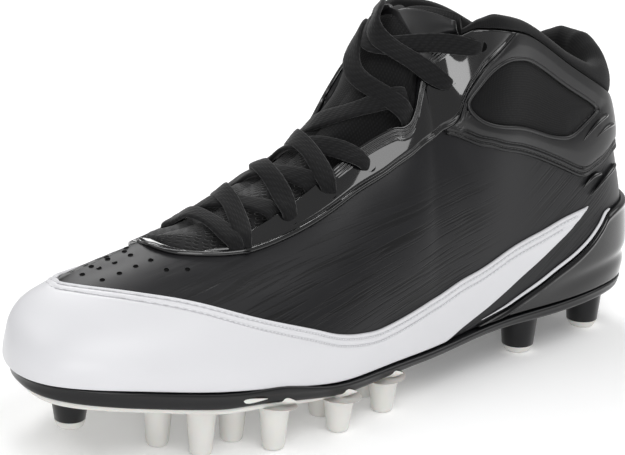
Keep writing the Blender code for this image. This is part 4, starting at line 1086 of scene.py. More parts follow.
def make_cuff():
    """The padded ankle panel: windows sink through it, a double seam runs along its low edge."""
    us = round_heel(shares(0.0, 0.4195, 1.4 * MM))
    a = share_of(us)
    low = curve(CUFF_LOW, a)
    front = np.where(a > STAY_LOW[0][0] - 0.006, curve(STAY_LOW, a) + 0.004, 2.0)
    high = np.maximum(np.minimum(curve(TOP_EDGE, a), front), low + 0.001)
    rows = np.concatenate([EDGE_STEPS[:6], np.arange(1.15, 5.5, 0.3) * MM])
    seams = (1.7 * MM, 3.9 * MM)

    def padded(u, t, from_low, from_high):
        inside = window_depth(share_of(u), t)
        away = np.minimum(from_low - 4.0 * MM, np.minimum(from_high, -inside))
        swell = 1.1 * MM * (1 - np.exp(-np.clip(away, 0, 1) / (3.0 * MM)))
        seam = sum(groove(from_low, at, 0.6 * MM, 0.8 * MM) for at in seams)
        return swell + seam - 1.5 * MM * ease((inside + 0.2 * MM) / (0.9 * MM))

    cuff = panel("ankle_cuff", us, low, high, 0.1 * MM, 1.5 * MM, finish("satin"), middle=44, steps=rows,
                 radius=0.8 * MM, extra=padded)
    settle(cuff, "satin_synthetic", "cuff")
    for at in seams:
        line = inward(CUFF_LOW, np.linspace(0.004, 0.404, 160), at, sign=1)
        sewn_sides("cuff", line, at, 1.0 * MM, "black_thread", "satin_synthetic")
    return cuff


def window_loop(grow):
    """The ankle window's outline as a closed line of shares, moved out by grow metres, corners rounded."""
    a = np.linspace(WINDOW_LOW[0][0], WINDOW_LOW[-1][0], 70)
    low = np.stack([a, curve(WINDOW_LOW, a)], -1)
    high = np.stack([a, curve(WINDOW_HIGH, a)], -1)[::-1]
    scale = np.array([WINDOW_ON, WINDOW_UP])
    loop = evenly(np.concatenate([low, high[1:-1], low[:1]]) * scale, 0.8 * MM)[:-1]
    for _ in range(14):
        loop = (np.roll(loop, 1, axis=0) + 2 * loop + np.roll(loop, -1, axis=0)) / 4
    ahead = unit(np.roll(loop, -1, axis=0) - np.roll(loop, 1, axis=0))
    loop = loop + np.stack([ahead[:, 1], -ahead[:, 0]], -1) * grow
    return np.concatenate([loop, loop[:1]]) / scale


def make_windows():
    """The ankle windows: domed textile pads, a round piping about each, and a row of stitches."""
    done = []
    for sign, side in SIDES:
        a = np.linspace(WINDOW_LOW[0][0], WINDOW_LOW[-1][0], 60)[::sign]
        low = curve(WINDOW_LOW, a)
        t = low[:, None] + (curve(WINDOW_HIGH, a) - low)[:, None] * np.linspace(0, 1, 34)
        u = at_side(a, sign)[:, None] + 0 * t
        dome = np.clip(window_depth(share_of(u), t), 0, 1)
        points = slab(u, t, 0.35 * MM + 1.9 * MM * (1 - np.exp(-dome / (4.0 * MM))), 0.1 * MM)
        pad = surface("ankle_pad_cloth_" + side, points, finish("knit"))
        settle(pad, "black_textile", "ankle_pad_" + side)
        a, t = window_loop(0.2 * MM).T
        cord = skin_tube("window_piping_" + side, at_side(a, sign), t, 1.45 * MM, 0.85 * MM, finish("satin"))
        settle(cord, "satin_synthetic")
        a, t = window_loop(2.3 * MM).T
        row = sewn("window_stitches_" + side, at_side(a, sign), t, 1.85 * MM, finish("black_thread"))
        done.append(settle(row, "satin_synthetic"))
    return done


def make_counter():
    """The moulded heel counter: grows to 2 mm at the heel, with a lip above and a pressed ridge below."""
    us = round_heel(shares(0.0, COUNTER_HIGH[-1][0], 1.3 * MM))
    a = share_of(us)
    low = np.full(len(us), 0.004)
    high = np.maximum(curve(COUNTER_HIGH, a), low + 0.003)

    def moulded(u, t, from_low, from_high):
        end = ease((COUNTER_HIGH[-1][0] - share_of(u)) / 0.20)
        lip = 0.45 * MM * np.exp(-((from_high - 1.4 * MM) / (0.7 * MM))**2)
        sink = 0.18 * (1 - share_of(u) / 0.32)
        hollow = -1.0 * MM * np.exp(-((t - sink) / 0.035)**2) * ease((0.30 - share_of(u)) / 0.1)
        return (0.8 * MM + hollow) * end + lip

    counter = panel("moulded_counter", us, low, high, 0.1 * MM, 1.3 * MM, finish("moulded"), middle=30,
                    radius=0.8 * MM, extra=moulded)
    return settle(counter, "patent_leather", "heel_counter")


def make_piping():
    """The white line above the counter, half round, drawn to a point at both ends."""
    done = []
    a = np.linspace(0.130, 0.345, 120)
    t = curve(COUNTER_HIGH, a) + 0.015
    run = np.linspace(0, 1, len(a))
    wide = 0.62 * MM * np.minimum(1, run / 0.06 + 0.3) * ease((1 - run) / 0.5) + 0.10 * MM
    thick = 0.6 * MM * np.minimum(1, wide / (0.4 * MM))
    for sign, side in SIDES:
        path = skin(at_side(a, sign), t, 0.55 * MM)
        face = skin(at_side(a, sign), t, 1.6 * MM) - path
        line = tube("counter_line_" + side, path, face, wide, thick, finish("white"))
        done.append(settle(line, "white_synthetic", "counter_piping_" + side))
    return done


def make_heel_ribs():
    """Raised strokes on the heel: glossy tapered ribs, thin at the front and thick towards the back."""
    made = []
    s = np.linspace(0, 1, 26)
    full = np.sqrt(np.clip(1 - (2 * s - 1)**2, 0.0004, 1)) * (0.45 + 0.75 * s)
    for k, (a0, t0, a1, t1, lift) in enumerate(HEEL_RIBS):
        for sign, _ in SIDES:
            u = at_side(a0 + (a1 - a0) * s, sign)
            t = t0 + (t1 - t0) * s + 0.02 * np.sin(np.pi * s)
            path = skin(u, t, lift * MM)
            face = skin(u, t, (lift + 1) * MM) - path
            rib = tube("rib_" + str(k), path, face, 1.1 * MM * full, 1.5 * MM * full, finish("patent"), 10)
            made.append(rib)
    return settle(merge(made, "heel_ribs"), "patent_leather")


def sunk(points):
    """The tongue's free top and its laces, let down: z less SETTLED * ease((z - from) / over)."""
    moved = points.copy()
    moved[..., 2] -= SETTLED * ease((points[..., 2] - SETTLED_FROM) / SETTLED_OVER)
    return moved


def make_tongue():
    """The padded tongue: dips under the laces, swells between them, and ends in a rolled top edge."""
    us = both_sides(shares(TONGUE_LOW[0][0], TONGUE_LOW[-1][0], 1.7 * MM, CREST))
    a = share_of(us)[:, None]
    low = curve(TONGUE_LOW, a)
    count = 54
    rows = np.linspace(0, 1, count)[None]
    t = low + (1 - low) * ease(rows) * 0.5 + (1 - low) * rows * 0.5
    u = us[:, None] + 0 * t
    edge = curve(TOP_EDGE, a)
    under = WALL + 1.2 * MM
    k = np.clip((t - edge) / np.maximum(1 - edge, 0.02), 0, 1)
    clear = ease((t - edge - 0.02) / 0.10)
    free = ease((CREST + 0.01 - a) / 0.01) * ease((t - 0.93) / 0.07)
    swell = 0.9 * MM * np.sin(2 * np.pi * (a - 0.40) / 0.115) * clear * ease((a - 0.42) / 0.04)
    far = -under + (under - 2.2 * MM + 3.2 * MM * np.sin(np.pi * k)) * clear + swell
    start = ease((t - low) / 0.10)
    near = -under - TONGUE_THICK * (0.35 + 0.65 * start)
    middle = (far + near) / 2
    roll = np.sqrt(np.clip(1 - free**2, 0.0, 1))
    points = sunk(slab(u, t, middle + (far - middle) * roll, middle + (near - middle) * roll))
    lower = np.zeros((len(us) - 1, 2 * count), bool)
    lower[:, :count - 1] = ((a > 0.565) & (t > edge))[:-1, :-1]
    tongue = surface("tongue_pad", points, [finish("lining"), finish("mesh")], inner=lower)
    settle(tongue, "black_textile", "tongue")
    return tongue


def make_tongue_label():
    """The bare satin label on the tongue's top."""
    a = shares(0.386, 0.437, 1.2 * MM)
    us = np.concatenate([a, [CREST], 2 - a[::-1]])
    k = np.linspace(0, 1, 26)
    a = share_of(us)[:, None]
    low = 0.93 - 0.22 * ease((a - 0.386) / 0.054)
    t = low + (0.982 - low) * k[None]
    u = us[:, None] + 0 * t
    depth = 0.9 * MM + 1.2 * MM * np.sin(np.pi * k)[None]
    label = surface("tongue_label", sunk(slab(u, t, depth, depth - 1.2 * MM)), finish("satin"))
    return settle(label, "satin_synthetic")


def make_collar():
    """The padded collar roll: its ring of rows, run through a closed cubic to 44 rows."""
    us = round_heel(shares(0.0, 0.384, 1.7 * MM))
    a = share_of(us)
    t = curve(TOP_EDGE, a)
    slim = 1 - 0.62 * ease((a - 0.335) / 0.049)
    edge = skin(us, t)
    out = unit(skin(us, t, MM) - edge)
    below = edge - skin(us, t - 0.02)
    up = unit(below)
    per = np.linalg.norm(below, axis=-1) / 0.02
    rise = curve(HEEL_RISE, a) * HEIGHT
    rows = []
    for o, h, share, lean in COLLAR:
        inner = o <= INSIDE
        fade = (0.35 + 0.65 * ease((0.352 - a) / 0.10)) * slim if inner else slim
        move = (o - INSIDE) * fade * PAD_THICK - WALL - 0.7 * MM if inner else o * PAD_THICK * fade
        move = move + lean * rise
        if h < 0:
            rows.append(skin(us, t + h * fade * PAD_THICK / per, move))
        else:
            rows.append(edge + out * move[:, None] + up * (h * PAD_THICK * slim + share * rise)[:, None])
    points = smooth_ring(np.stack(rows, 1), 4)
    roll = surface("collar_roll", points, finish("knit"))
    settle(roll, "black_textile", "collar")
    return roll


def smooth_ring(rows, fine):
    """Closed Catmull-Rom along the second axis: each span is split into fine parts."""
    before = np.roll(rows, 1, axis=1)
    after = np.roll(rows, -1, axis=1)
    beyond = np.roll(rows, -2, axis=1)
    q = (np.arange(fine) / fine)[None, None, :, None]
    p0, p1, p2, p3 = (x[:, :, None] for x in (before, rows, after, beyond))
    made = 0.5 * (2 * p1 + (p2 - p0) * q + (2 * p0 - 5 * p1 + 4 * p2 - p3) * q**2
                  + (3 * p1 - p0 - 3 * p2 + p3) * q**3)
    return made.reshape(rows.shape[0], -1, 3)


def sole_grade(side, a):
    """Slope of the sole's edge plane along x and across y at share a."""
    one = section(side, a)
    two = section(-side, a)
    ahead = np.clip(a + 0.04, 0, 1)
    behind = np.clip(a - 0.04, 0, 1)
    move = section(side, ahead) + section(-side, ahead) - section(side, behind) - section(-side, behind)
    along = move[..., 2] / np.maximum(move[..., 0], 2 * MM)
    wide = one[..., 1] - two[..., 1]
    across = (one[..., 2] - two[..., 2]) * np.sign(wide) / np.maximum(np.abs(wide), 0.2 * WIDTH)
    return np.stack([along, across], -1)


def bed_point(side, a, out, share, drop):
    """A point of the sole: the foot line moved out, drawn to the middle by share, lowered by drop."""
    ends = []
    grade = sole_grade(side, a)
    for one in (side, -side):
        n = plan_normal(one, a)
        rise = (n[..., 0:1] * grade[..., 0:1] + n[..., 1:2] * grade[..., 1:2]) * out
        foot = section(one, a)[..., 0:3] + n * out
        foot[..., 2:3] += rise
        ends.append(foot)
    p = ends[0] + (ends[1] - ends[0]) * 0.5 * share
    p[..., 2] -= drop
    return p + SHIFT


def leaf(name, a, rings, look, capped=(False, False)):
    """A sole layer: rings (out, share to the middle, drop) down one side and back up the other."""
    halves = []
    for side in (1, -1):
        rows = []
        for out, share, drop in rings:
            out = np.broadcast_to(out, a.shape)[:, None]
            rows.append(bed_point(side, a, out, share, np.broadcast_to(drop, a.shape)))
        halves.append(np.stack(rows, 1))
    points = np.concatenate([halves[0], halves[1][:, ::-1]], axis=1)
    return surface(name, points, look, capped=capped)


def underside(x, y):
    """Height of the black plate's underside over points of the floor, averaged over 2 mm along x."""
    a = np.linspace(0.002, 0.998, 400)
    one = section(1, a)
    two = section(-1, a)
    w = np.clip((y[..., None] - SHIFT[1] - two[:, 1]) / (one[:, 1] - two[:, 1]), 0, 1)
    along = two[:, 0] + (one[:, 0] - two[:, 0]) * w
    level = two[:, 2] + (one[:, 2] - two[:, 2]) * w - curve(PLATE, a) * HEIGHT - SOLE_GAP
    near = np.exp(-((along - (x[..., None] - SHIFT[0])) / (2.0 * MM))**2) + 1e-12
    return (level * near).sum(axis=-1) / near.sum(axis=-1)


def turned(name, x, y, profile, look, level=0.0, sides=28):
    """A turned stud. A ring (r, z) is level, and a ring (r, None, z) lies z above the plate's underside."""
    turn = np.linspace(0, 2 * np.pi, sides, endpoint=False)
    rings = []
    for r, z, *rise in profile:
        px = x + r * np.cos(turn)
        py = y + r * np.sin(turn)
        pz = underside(px, py) + rise[0] + level if z is None else np.full(sides, z)
        rings.append(np.stack([px, py, pz], -1))
    return surface(name, np.stack(rings), look)


def toe_turn(a):
    """0 along the sides and 1 round the toe, where the rim draws in under the overlay."""
    return ease((a - 0.84) / 0.10)


def disc(node_name):
    """Middle, radius, bottom and top of an upright round solid."""
    low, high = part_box(node_name)
    return (low[0] + high[0]) / 2, (low[1] + high[1]) / 2, (high[0] - low[0]) / 2, low[2], high[2]


def under_at(x, y):
    """Height of the plate's underside at one point."""
    return float(underside(np.array([x]), np.array([y]))[0])


def make_outsole():
    """The black plate: bevelled rim, arch and toe spring, with its four heel studs."""
    a = shares(0.0, 1.0, 2.0 * MM)
    thick = curve(PLATE, a) * HEIGHT + SOLE_GAP
    lip = RIM_OUT + 0.25 * MM - TOE_RIM_IN * toe_turn(a)
    crown = 1.5 * MM * np.exp(-((a - 0.675) / 0.035)**2)
    foot = lip - 2.2 * MM
    rings = (
        (-4.0 * MM, 1.0, SOLE_GAP), (-4.0 * MM, 0.5, SOLE_GAP), (-4.0 * MM, 0.0, SOLE_GAP),
        (lip - 0.9 * MM, 0.0, SOLE_GAP - 0.1 * MM - crown),
        (lip - 0.35 * MM, 0.0, SOLE_GAP + 0.05 * MM - crown),
        (lip, 0.0, SOLE_GAP + 0.5 * MM - crown), (lip - 0.05 * MM, 0.0, SOLE_GAP + 1.1 * MM),
        (lip - 0.45 * MM, 0.0, SOLE_GAP + 1.5 * MM), (lip - 0.5 * MM, 0.0, thick * 0.62),
        (lip - 0.8 * MM, 0.0, thick - 0.9 * MM), (lip - 1.3 * MM, 0.0, thick - 0.3 * MM),
        (foot, 0.0, thick), (foot, 0.25, thick), (foot, 0.5, thick), (foot, 0.75, thick), (foot, 1.0, thick),
    )
    made = [leaf("sole_plate", a, rings, finish("black_plastic"))]
    for name, *_ in BACK_STUDS:
        x, y, r, _, seat = disc("stud_tip_" + name)
        profile = (
            (0.1 * MM, seat - 0.1 * MM), (r - 0.2 * MM, seat - 0.1 * MM), (r, seat + 0.15 * MM),
            (HEEL_BASE_R - 1.1 * MM, under_at(x, y) - 4.2 * MM), (HEEL_BASE_R - 0.6 * MM, None, -2.0 * MM),
            (HEEL_BASE_R + 0.6 * MM, None, -0.9 * MM), (HEEL_BASE_R + 2.2 * MM, None, -0.2 * MM),
            (HEEL_BASE_R + 3.4 * MM, None, 0.4 * MM),
        )
        made.append(turned(name, x, y, profile, finish("black_plastic")))
    return settle(merge(made, "sole_plate"), "black_tpu", "outsole")


def make_tips():
    """White tips of the toe stud and the heel studs, with a rounded wearing edge."""
    done = []
    for name in ["toe"] + [row[0] for row in BACK_STUDS]:
        x, y, r, low, high = disc("stud_tip_" + name)
        foot = r - (0.5 if name == "toe" else 0.9) * MM
        profile = (
            (0.1 * MM, low), (foot - 1.6 * MM, low), (foot - 0.6 * MM, low + 0.2 * MM),
            (foot - 0.1 * MM, low + 0.9 * MM), (r, high - 0.2 * MM), (r - 0.1 * MM, high), (0.1 * MM, high),
        )
        tip = turned("white_tip_" + name, x, y, profile, finish("white_plastic"))
        done.append(settle(tip, "white_tpu", "stud_tip_" + name))
    return done


def make_toe_stud():
    """The black stud under the toe, on the white plate's underside."""
    x, y, r, _, seat = disc("stud_tip_toe")
    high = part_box("toe_stud")[1][2]
    profile = (
        (0.1 * MM, seat), (r - 0.2 * MM, seat), (r, seat + 0.25 * MM),
        (HEEL_BASE_R - 1.2 * MM, high - 3.6 * MM), (HEEL_BASE_R - 0.9 * MM, None, -1.6 * MM),
        (HEEL_BASE_R - 0.1 * MM, None, -0.4 * MM), (HEEL_BASE_R + 0.6 * MM, None, 0.3 * MM),
    )
    stud = turned("black_toe_stud", x, y, profile, finish("black_plastic"), -PLATE_GAP - FRONT_PLATE)
    return settle(stud, "black_tpu", "toe_stud")


def make_front_plate():
    """The white plate: thin leaf under the ball and toe, twelve round studs, and wings that climb the rim."""
    a = shares(0.43, 1.0, 2.0 * MM)
    top = curve(PLATE, a) * HEIGHT + SOLE_GAP + 0.1 * MM
    out = -2.4 * MM + 2.2 * MM * np.exp(-((a - 0.72) / 0.07)**2) - 0.5 * TOE_RIM_IN * toe_turn(a)
    thick = FRONT_PLATE + 0.4 * MM
    foot = out - 0.9 * MM
    rings = (
        (out, 1.0, top), (out, 0.5, top), (out, 0.0, top), (out + 0.1 * MM, 0.0, top + thick * 0.35),
        (out - 0.2 * MM, 0.0, top + thick * 0.75), (foot, 0.0, top + thick), (foot, 0.3, top + thick),
        (foot, 0.6, top + thick), (foot, 1.0, top + thick),
    )
    white = finish("white_plastic")
    made = [leaf("front_leaf", a, rings, white, capped=(True, False))]
    level = -PLATE_GAP - FRONT_PLATE
    for k, (sx, sy, winged) in enumerate(FRONT_STUDS):
        x = sx * LENGTH + SHIFT[0]
        y = sy * WIDTH + SHIFT[1]
        under = under_at(x, y) + level
        profile = (
            (0.1 * MM, 0.0), (STUD_TIP_R - 1.5 * MM, 0.0), (STUD_TIP_R - 0.6 * MM, 0.25 * MM),
            (STUD_TIP_R - 0.1 * MM, 0.9 * MM), (STUD_TIP_R + 0.15 * MM, 2.0 * MM),
            (STUD_BASE_R - 1.0 * MM, under - 2.6 * MM), (STUD_BASE_R - 0.4 * MM, None, -1.2 * MM),
            (STUD_BASE_R + 0.7 * MM, None, -0.4 * MM), (STUD_BASE_R + 2.0 * MM, None, 0.3 * MM),
        )
        made.append(turned("stud_" + str(k), x, y, profile, white, level))
        if winged:
            made.append(wing("wing_" + str(k), x, y, under, sx > 0.75, white))
    return settle(merge(made, "front_leaf"), "white_tpu", "forefoot_plate")


def wing(name, x, y, under, long, look):
    """A gusset: a flat leaf from a stud's root over the rim's edge. The toe pair sweeps back to a point."""
    side = 1 if y > 0 else -1
    a = np.linspace(0.42, 0.97, 400)
    foot = bed_point(side, a, RIM_OUT + 0.1 * MM, 0.0, curve(PLATE, a) * HEIGHT * 0.72)
    near = int(np.argmin(abs(foot[:, 0] - x - 2.0 * MM)))
    tail = int(np.argmin(abs(foot[:, 0] - (x - (17.0 if long else 5.0) * MM))))
    end = foot[tail] + np.array([0.0, 0.0, (0.8 if long else -1.6) * MM])
    start = np.array([x, y, under + 0.4 * MM])
    s = np.linspace(0, 1, 26)[:, None]
    path = (1 - s)**2 * start + 2 * (1 - s) * s * foot[near] + s**2 * end
    out = np.array([0.0, float(side), -0.45])
    full = STUD_BASE_R * 0.9 * (1 - s[:, 0])**0.8 * (1.0 if long else 0.75) + 0.08 * MM
    return tube(name, path, np.broadcast_to(out, path.shape), full * 0.75, full * 0.35 + 0.1 * MM, look, 16)


def make_insole():
    """The sock inside the shoe: a soft leaf 3.5 mm thick that fills the bottom of the wall."""
    a = shares(0.0, 1.0, 3.0 * MM)
    inset = -(WALL + 0.9 * MM)
    base = SOLE_GAP - PLATE_GAP
    rings = (
        (inset - 2.0 * MM, 1.0, base - 3.5 * MM), (inset - 2.0 * MM, 0.5, base - 3.5 * MM),
        (inset - 2.0 * MM, 0.0, base - 3.5 * MM), (inset - 0.6 * MM, 0.0, base - 3.2 * MM),
        (inset, 0.0, base - 2.5 * MM), (inset, 0.0, base), (inset, 0.5, base), (inset, 1.0, base),
    )
    sock = leaf("insole_sock", a, rings, finish("lining"))
    settle(sock, "black_textile", "insole")
    return sock


def crest_path(start, end, lift, laid=None):
    """A lace's way from an outer eyelet over the crest to an inner one, as points and normals.

    It is the shortest of 26 crossings of the crest, or runs through the outer points laid by hand.
    """
    best = None
    k = np.linspace(0, 1, 16)
    tried = np.linspace(min(start[0], end[0]), max(start[0], end[0]) + 0.05, 26)
    for middle in [laid[-1][0]] if laid else tried:
        middle = max(middle, CREST + 0.012)
        outer = np.array(laid if laid else (start, (middle, 1.0)))
        at = np.linspace(0, len(outer) - 1, 16)
        a = np.interp(at, np.arange(len(outer)), outer[:, 0])
        up = np.interp(at, np.arange(len(outer)), outer[:, 1])
        u = np.concatenate([a, (2 - (end[0] + (middle - end[0]) * k[::-1]))[1:]])
        t = np.concatenate([up, (1 + (end[1] - 1) * k)[1:]])
        path = skin(u, t, lift * np.concatenate([1 - 0.45 * ease(k), np.full(len(k) - 1, 0.55)]))
        length = np.linalg.norm(np.diff(path, axis=0), axis=1).sum()
        if best is None or length < best[0]:
            best = (length, path, u, t)
    _, path, u, t = best
    normals = unit(skin(u, t, lift + MM) - skin(u, t, lift))
    for _ in range(8):
        normals[1:-1] = unit(normals[:-2] + 2 * normals[1:-1] + normals[2:])
        path[1:-1] = (path[:-2] + 2 * path[1:-1] + path[2:]) / 4
    both = evenly(np.concatenate([sunk(path), normals * MM], axis=1), 0.8 * MM)
    return both[:, :3], unit(both[:, 3:])


def strand(name, outer, inner, rise, under, look, rng, laid=None):
    """A flat lace from an outer eyelet to an inner one, pinched at its holes.

    It leaves a hole within 5 mm, is lifted by rise * sin^2 at its middle, and at an end that under
    marks (outer, inner) it runs down under the throat edge and on below the stay.
    """
    sizes = bpy.context.scene.cleat_sizes
    path, normals = crest_path(outer, inner, LACE_LIFT, laid)
    run = run_of(path)
    total = run[-1]
    drop = np.zeros(len(run))
    pinch = np.zeros(len(run))
    for far, hidden in ((run, under[0]), (total - run, under[1])):
        if hidden:
            drop = drop - DIVE * ease((11.0 * MM - far) / (7.0 * MM))
        else:
            drop = drop - HOLE_DROP * np.exp(-(far / (2.6 * MM))**2)
            pinch = pinch + np.exp(-(far / (6.0 * MM))**2)
    arch = rise * np.sin(np.pi * np.clip(run / total, 0, 1))**2
    side = unit(np.cross(np.gradient(path, axis=0), normals))
    wander = rng.uniform(-0.5, 0.5) * MM * np.sin(2 * np.pi * run / total + rng.uniform(0, 6))
    path = path + normals * (drop + arch)[:, None] + side * wander[:, None]
    lean = 0.22 * np.sin(2 * np.pi * run / (34 * MM) + rng.uniform(0, 6))
    face = unit(normals + side * lean[:, None])
    wide = sizes.lace_width / 2 * (1 - 0.30 * np.clip(pinch, 0, 1)) * (1 + 0.04 * np.sin(run / (5 * MM)))
    thick = sizes.lace_thickness / 2 * (1 + 0.45 * np.clip(pinch, 0, 1))
    return tube(name, path, face, wide, thick, look, 16, 3.2)


def make_laces():
    """The lace: a bar through the lowest pair, then each strand crosses and dives to the next pair."""
    rng = np.random.default_rng(7)
    lace = finish("lace")
    first = (LACE_HOLES[0][0] + 0.008, LACE_HOLES[0][1])
    bar = strand("lace_bar", first, first, 1.2 * MM, (False, False), lace, rng)
    done = [settle(bar, "lace_webbing", "lace_bar_1")]
    # Below the top crossing the strands' far ends dive under the throat edge, but for the third's
    # lower strand, which stays in sight. The fourth's upper strand also starts hidden.
    for k, (low, high) in enumerate(zip(LACE_HOLES[:-1], LACE_HOLES[1:])):
        dives = k < 4
        over = strand("lace_over", low, high, 2.4 * MM, (k == 3, dives), lace, rng, LAID.get((k, "over")))
        below = strand("lace_under", high, low, 0.7 * MM, (dives and k != 2, False), lace, rng,
                       LAID.get((k, "under")))
        crossing = merge([over, below], "lace_crossing_" + str(k + 1))
        done.append(settle(crossing, "lace_webbing", "lace_cross_" + str(k + 1)))
    return done


def backward(azimuth, elevation):
    """Way from the shoe towards a viewer. Azimuth 0 looks along +Y."""
    turn = math.radians(azimuth)
    lift = math.radians(elevation)
    return Vector((math.sin(turn) * math.cos(lift), -math.cos(turn) * math.cos(lift), math.sin(lift)))


def make_stage():
    """A pale paper floor, a pale world, five large soft lamps, and the photograph's camera."""
    stage = bpy.context.scene.cleat_stage
    paper, shader, place = principled("paper_sweep", roughness=0.9, specular_ior_level=0.1)
    shader.inputs["Emission Color"].default_value = (*linear("#ffffff"), 1.0)
    shader.inputs["Emission Strength"].default_value = stage.floor_glow
    pale = (*stage.floor_colour, 1.0)
    mottle = node(paper, "TexNoise", {"Vector": place, "Scale": 40.0, "Detail": 2.0})
    wire(paper, shader, node(paper, "Mix", {0: mottle, 6: toned(pale, 0.99), 7: pale}, 2, data_type="RGBA"))
    reach = 4.0
    corners = np.array([(-reach, -reach, 0), (reach, -reach, 0), (reach, reach, 0), (-reach, reach, 0)])
    linked("floor", corners, [(0, 1, 2, 3)], paper)
    world = bpy.data.worlds.new("studio")
    world.use_nodes = True
    background = world.node_tree.nodes["Background"]
    background.inputs["Color"].default_value = (*linear("#ffffff"), 1.0)
    background.inputs["Strength"].default_value = stage.world_strength
    bpy.context.scene.world = world
    for name, azimuth, elevation, distance, width, height, power in LAMPS:
        lamp = bpy.data.lights.new(name, "AREA")
        lamp.shape = "RECTANGLE"
        lamp.size = width
        lamp.size_y = height
        lamp.energy = power
        source = bpy.data.objects.new(name, lamp)
        back = backward(azimuth, elevation)
        source.location = Vector((0.0, 0.0, 0.06)) + back * distance
        source.rotation_mode = "QUATERNION"
        source.rotation_quaternion = (-back).to_track_quat("-Z", "Y")
        bpy.context.scene.collection.objects.link(source)
    bpy.context.scene.view_settings.view_transform = "Standard"
    return place_camera()


def place_camera():
    """The photograph's camera: looks at SHOT_TARGET from its azimuth and elevation, rolled by SHOT_ROLL."""
    roll = math.radians(SHOT_ROLL)
    back = backward(SHOT_AZIMUTH, SHOT_ELEVATION)
    right = Vector((0.0, 0.0, 1.0)).cross(back).normalized()
    up = back.cross(right)
    across = right * math.cos(roll) + up * math.sin(roll)
    above = up * math.cos(roll) - right * math.sin(roll)
    data = bpy.data.cameras.new("photo_camera")
    data.sensor_width = SENSOR
    data.lens = SHOT_FOCAL_PX / PHOTO_PX[0] * SENSOR
    data.shift_x = (PHOTO_PX[0] / 2 - SHOT_CENTRE_PX[0]) / PHOTO_PX[0]
    data.shift_y = (SHOT_CENTRE_PX[1] - PHOTO_PX[1] / 2) / PHOTO_PX[0]
    data.clip_start = 0.05
    data.clip_end = 20.0
    camera = bpy.data.objects.new("photo_camera", data)
    place = Matrix.Translation(Vector(SHOT_TARGET) + Vector(SHIFT) + back * SHOT_DISTANCE)
    camera.matrix_world = place @ Matrix((across, above, back)).transposed().to_4x4()
    bpy.context.scene.collection.objects.link(camera)
    bpy.context.scene.camera = camera
    return camera


def length_property(label, words, millimetres, low, high):
    return FloatProperty(name=label, description=words, default=millimetres * MM, min=low * MM, max=high * MM,
                         unit="LENGTH")


class CleatSizes(PropertyGroup):
    overlay_thickness: length_property(
        "Overlay thickness", "Height of the white wrap above the upper", 1.3, 0.5, 3.0)
    stitch_pitch: length_property("Stitch pitch", "Length of one stitch with its gap", 3.1, 1.0, 6.0)
    lace_width: length_property("Lace width", "Width of the flat lace", 7.6, 3.0, 12.0)
    lace_thickness: length_property("Lace thickness", "Thickness of the flat lace", 2.2, 0.8, 4.0)


def paint_property(label, words, code):
    return FloatVectorProperty(name=label, description=words, default=linear(code), size=3, min=0.0, max=1.0,
                               subtype="COLOR")


class CleatColours(PropertyGroup):
    synthetic: paint_property("Synthetic", "Coated synthetic leather of the upper", "#131315")
    patent: paint_property("Patent", "Patent synthetic of the stay and counter", "#0a0a0b")
    white: paint_property("White", "White coated synthetic of the wrap", "#d4d4d7")
    satin: paint_property("Satin", "Padded satin synthetic of the ankle", "#141415")
    textile: paint_property("Textile", "Knit of the collar, tongue and lining", "#0f0f10")
    lace: paint_property("Lace", "Flat woven lace", "#0e0e0f")
    black_plastic: paint_property("Black plastic", "Black moulded plate and studs", "#0f0f11")
    white_plastic: paint_property("White plastic", "White moulded plate, studs and tips", "#dddcd8")


class CleatStage(PropertyGroup):
    floor_colour: paint_property("Floor", "Paper sweep under the shoe", "#fafafa")
    floor_glow: FloatProperty(name="Floor glow", description="Light let through the paper from below",
                              default=0.12, min=0.0, max=2.0)
    world_strength: FloatProperty(name="World", description="Strength of the even light all round",
                                  default=0.42, min=0.0, max=4.0)


def piece_operator(key, label, words, build):
    """An Operator class that runs one build function and raises an error when it makes nothing."""
    def execute(self, context):
        if build() is None:
            raise RuntimeError(label + " was not made")
        return {"FINISHED"}

    return type("CLEAT_OT_" + key, (Operator,), {
        "bl_idname": "cleat." + key, "bl_label": label, "__doc__": words, "bl_options": {"REGISTER", "UNDO"},
        "execute": execute,
    })


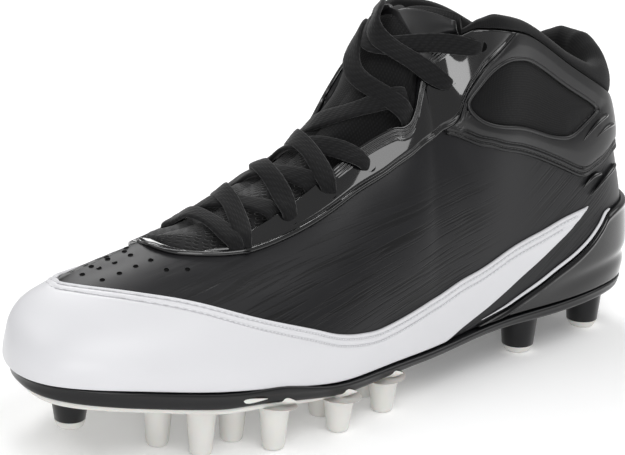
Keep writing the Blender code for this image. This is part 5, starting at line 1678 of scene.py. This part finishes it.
PIECES = (
    ("shell", "Upper shell", "Wall of the upper with its lining and creases", make_shell),
    ("wrap", "White wrap", "White overlay round the toe with its stitches", make_toe_overlay),
    ("stay", "Lace stay", "Glossy stay round the throat", make_eyestay),
    ("holes", "Holes", "Lace holes and toe perforations", make_holes),
    ("cuff", "Ankle cuff", "Padded satin cuff with its double seam", make_cuff),
    ("windows", "Ankle windows", "Textile pads, pipings and stitches of the windows", make_windows),
    ("counter", "Heel counter", "Glossy moulded heel counter", make_counter),
    ("piping", "Counter line", "White line above the counter", make_piping),
    ("ribs", "Heel ribs", "Raised strokes at the back of the heel", make_heel_ribs),
    ("tongue", "Tongue", "Padded tongue", make_tongue),
    ("label", "Tongue label", "Bare satin label on the tongue", make_tongue_label),
    ("collar", "Collar", "Padded collar roll", make_collar),
    ("insole", "Insole", "Sock inside the shoe", make_insole),
    ("outsole", "Sole plate", "Black plate with its heel studs", make_outsole),
    ("front_plate", "Front plate", "White plate with its studs and wings", make_front_plate),
    ("toe_stud", "Toe stud", "Black stud under the toe", make_toe_stud),
    ("tips", "Stud tips", "White tips of the black studs", make_tips),
    ("laces", "Laces", "Flat lace through the eyelets", make_laces),
    ("stage", "Stage", "Floor, light and the photograph's camera", make_stage),
)

OPERATORS = [piece_operator(*row) for row in PIECES]


class CLEAT_PT_panel(Panel):
    """Shows the sizes, colours and stage, and a button for each piece in the order they are made."""
    bl_label = "Football cleat"
    bl_idname = "CLEAT_PT_panel"
    bl_space_type = "VIEW_3D"
    bl_region_type = "UI"
    bl_category = "Cleat"

    def draw(self, context):
        for group in (context.scene.cleat_sizes, context.scene.cleat_colours, context.scene.cleat_stage):
            for key in group.__annotations__:
                self.layout.prop(group, key)
        for made in OPERATORS:
            self.layout.operator(made.bl_idname)


CLASSES = [CleatSizes, CleatColours, CleatStage, *OPERATORS, CLEAT_PT_panel]


def register():
    for made in CLASSES:
        bpy.utils.register_class(made)
    bpy.types.Scene.cleat_sizes = PointerProperty(type=CleatSizes)
    bpy.types.Scene.cleat_colours = PointerProperty(type=CleatColours)
    bpy.types.Scene.cleat_stage = PointerProperty(type=CleatStage)


def unregister():
    del bpy.types.Scene.cleat_stage
    del bpy.types.Scene.cleat_colours
    del bpy.types.Scene.cleat_sizes
    for made in reversed(CLASSES):
        bpy.utils.unregister_class(made)


def main():
    register()
    for key, *_ in PIECES:
        getattr(bpy.ops.cleat, key)()


if __name__ == "__main__":
    main()
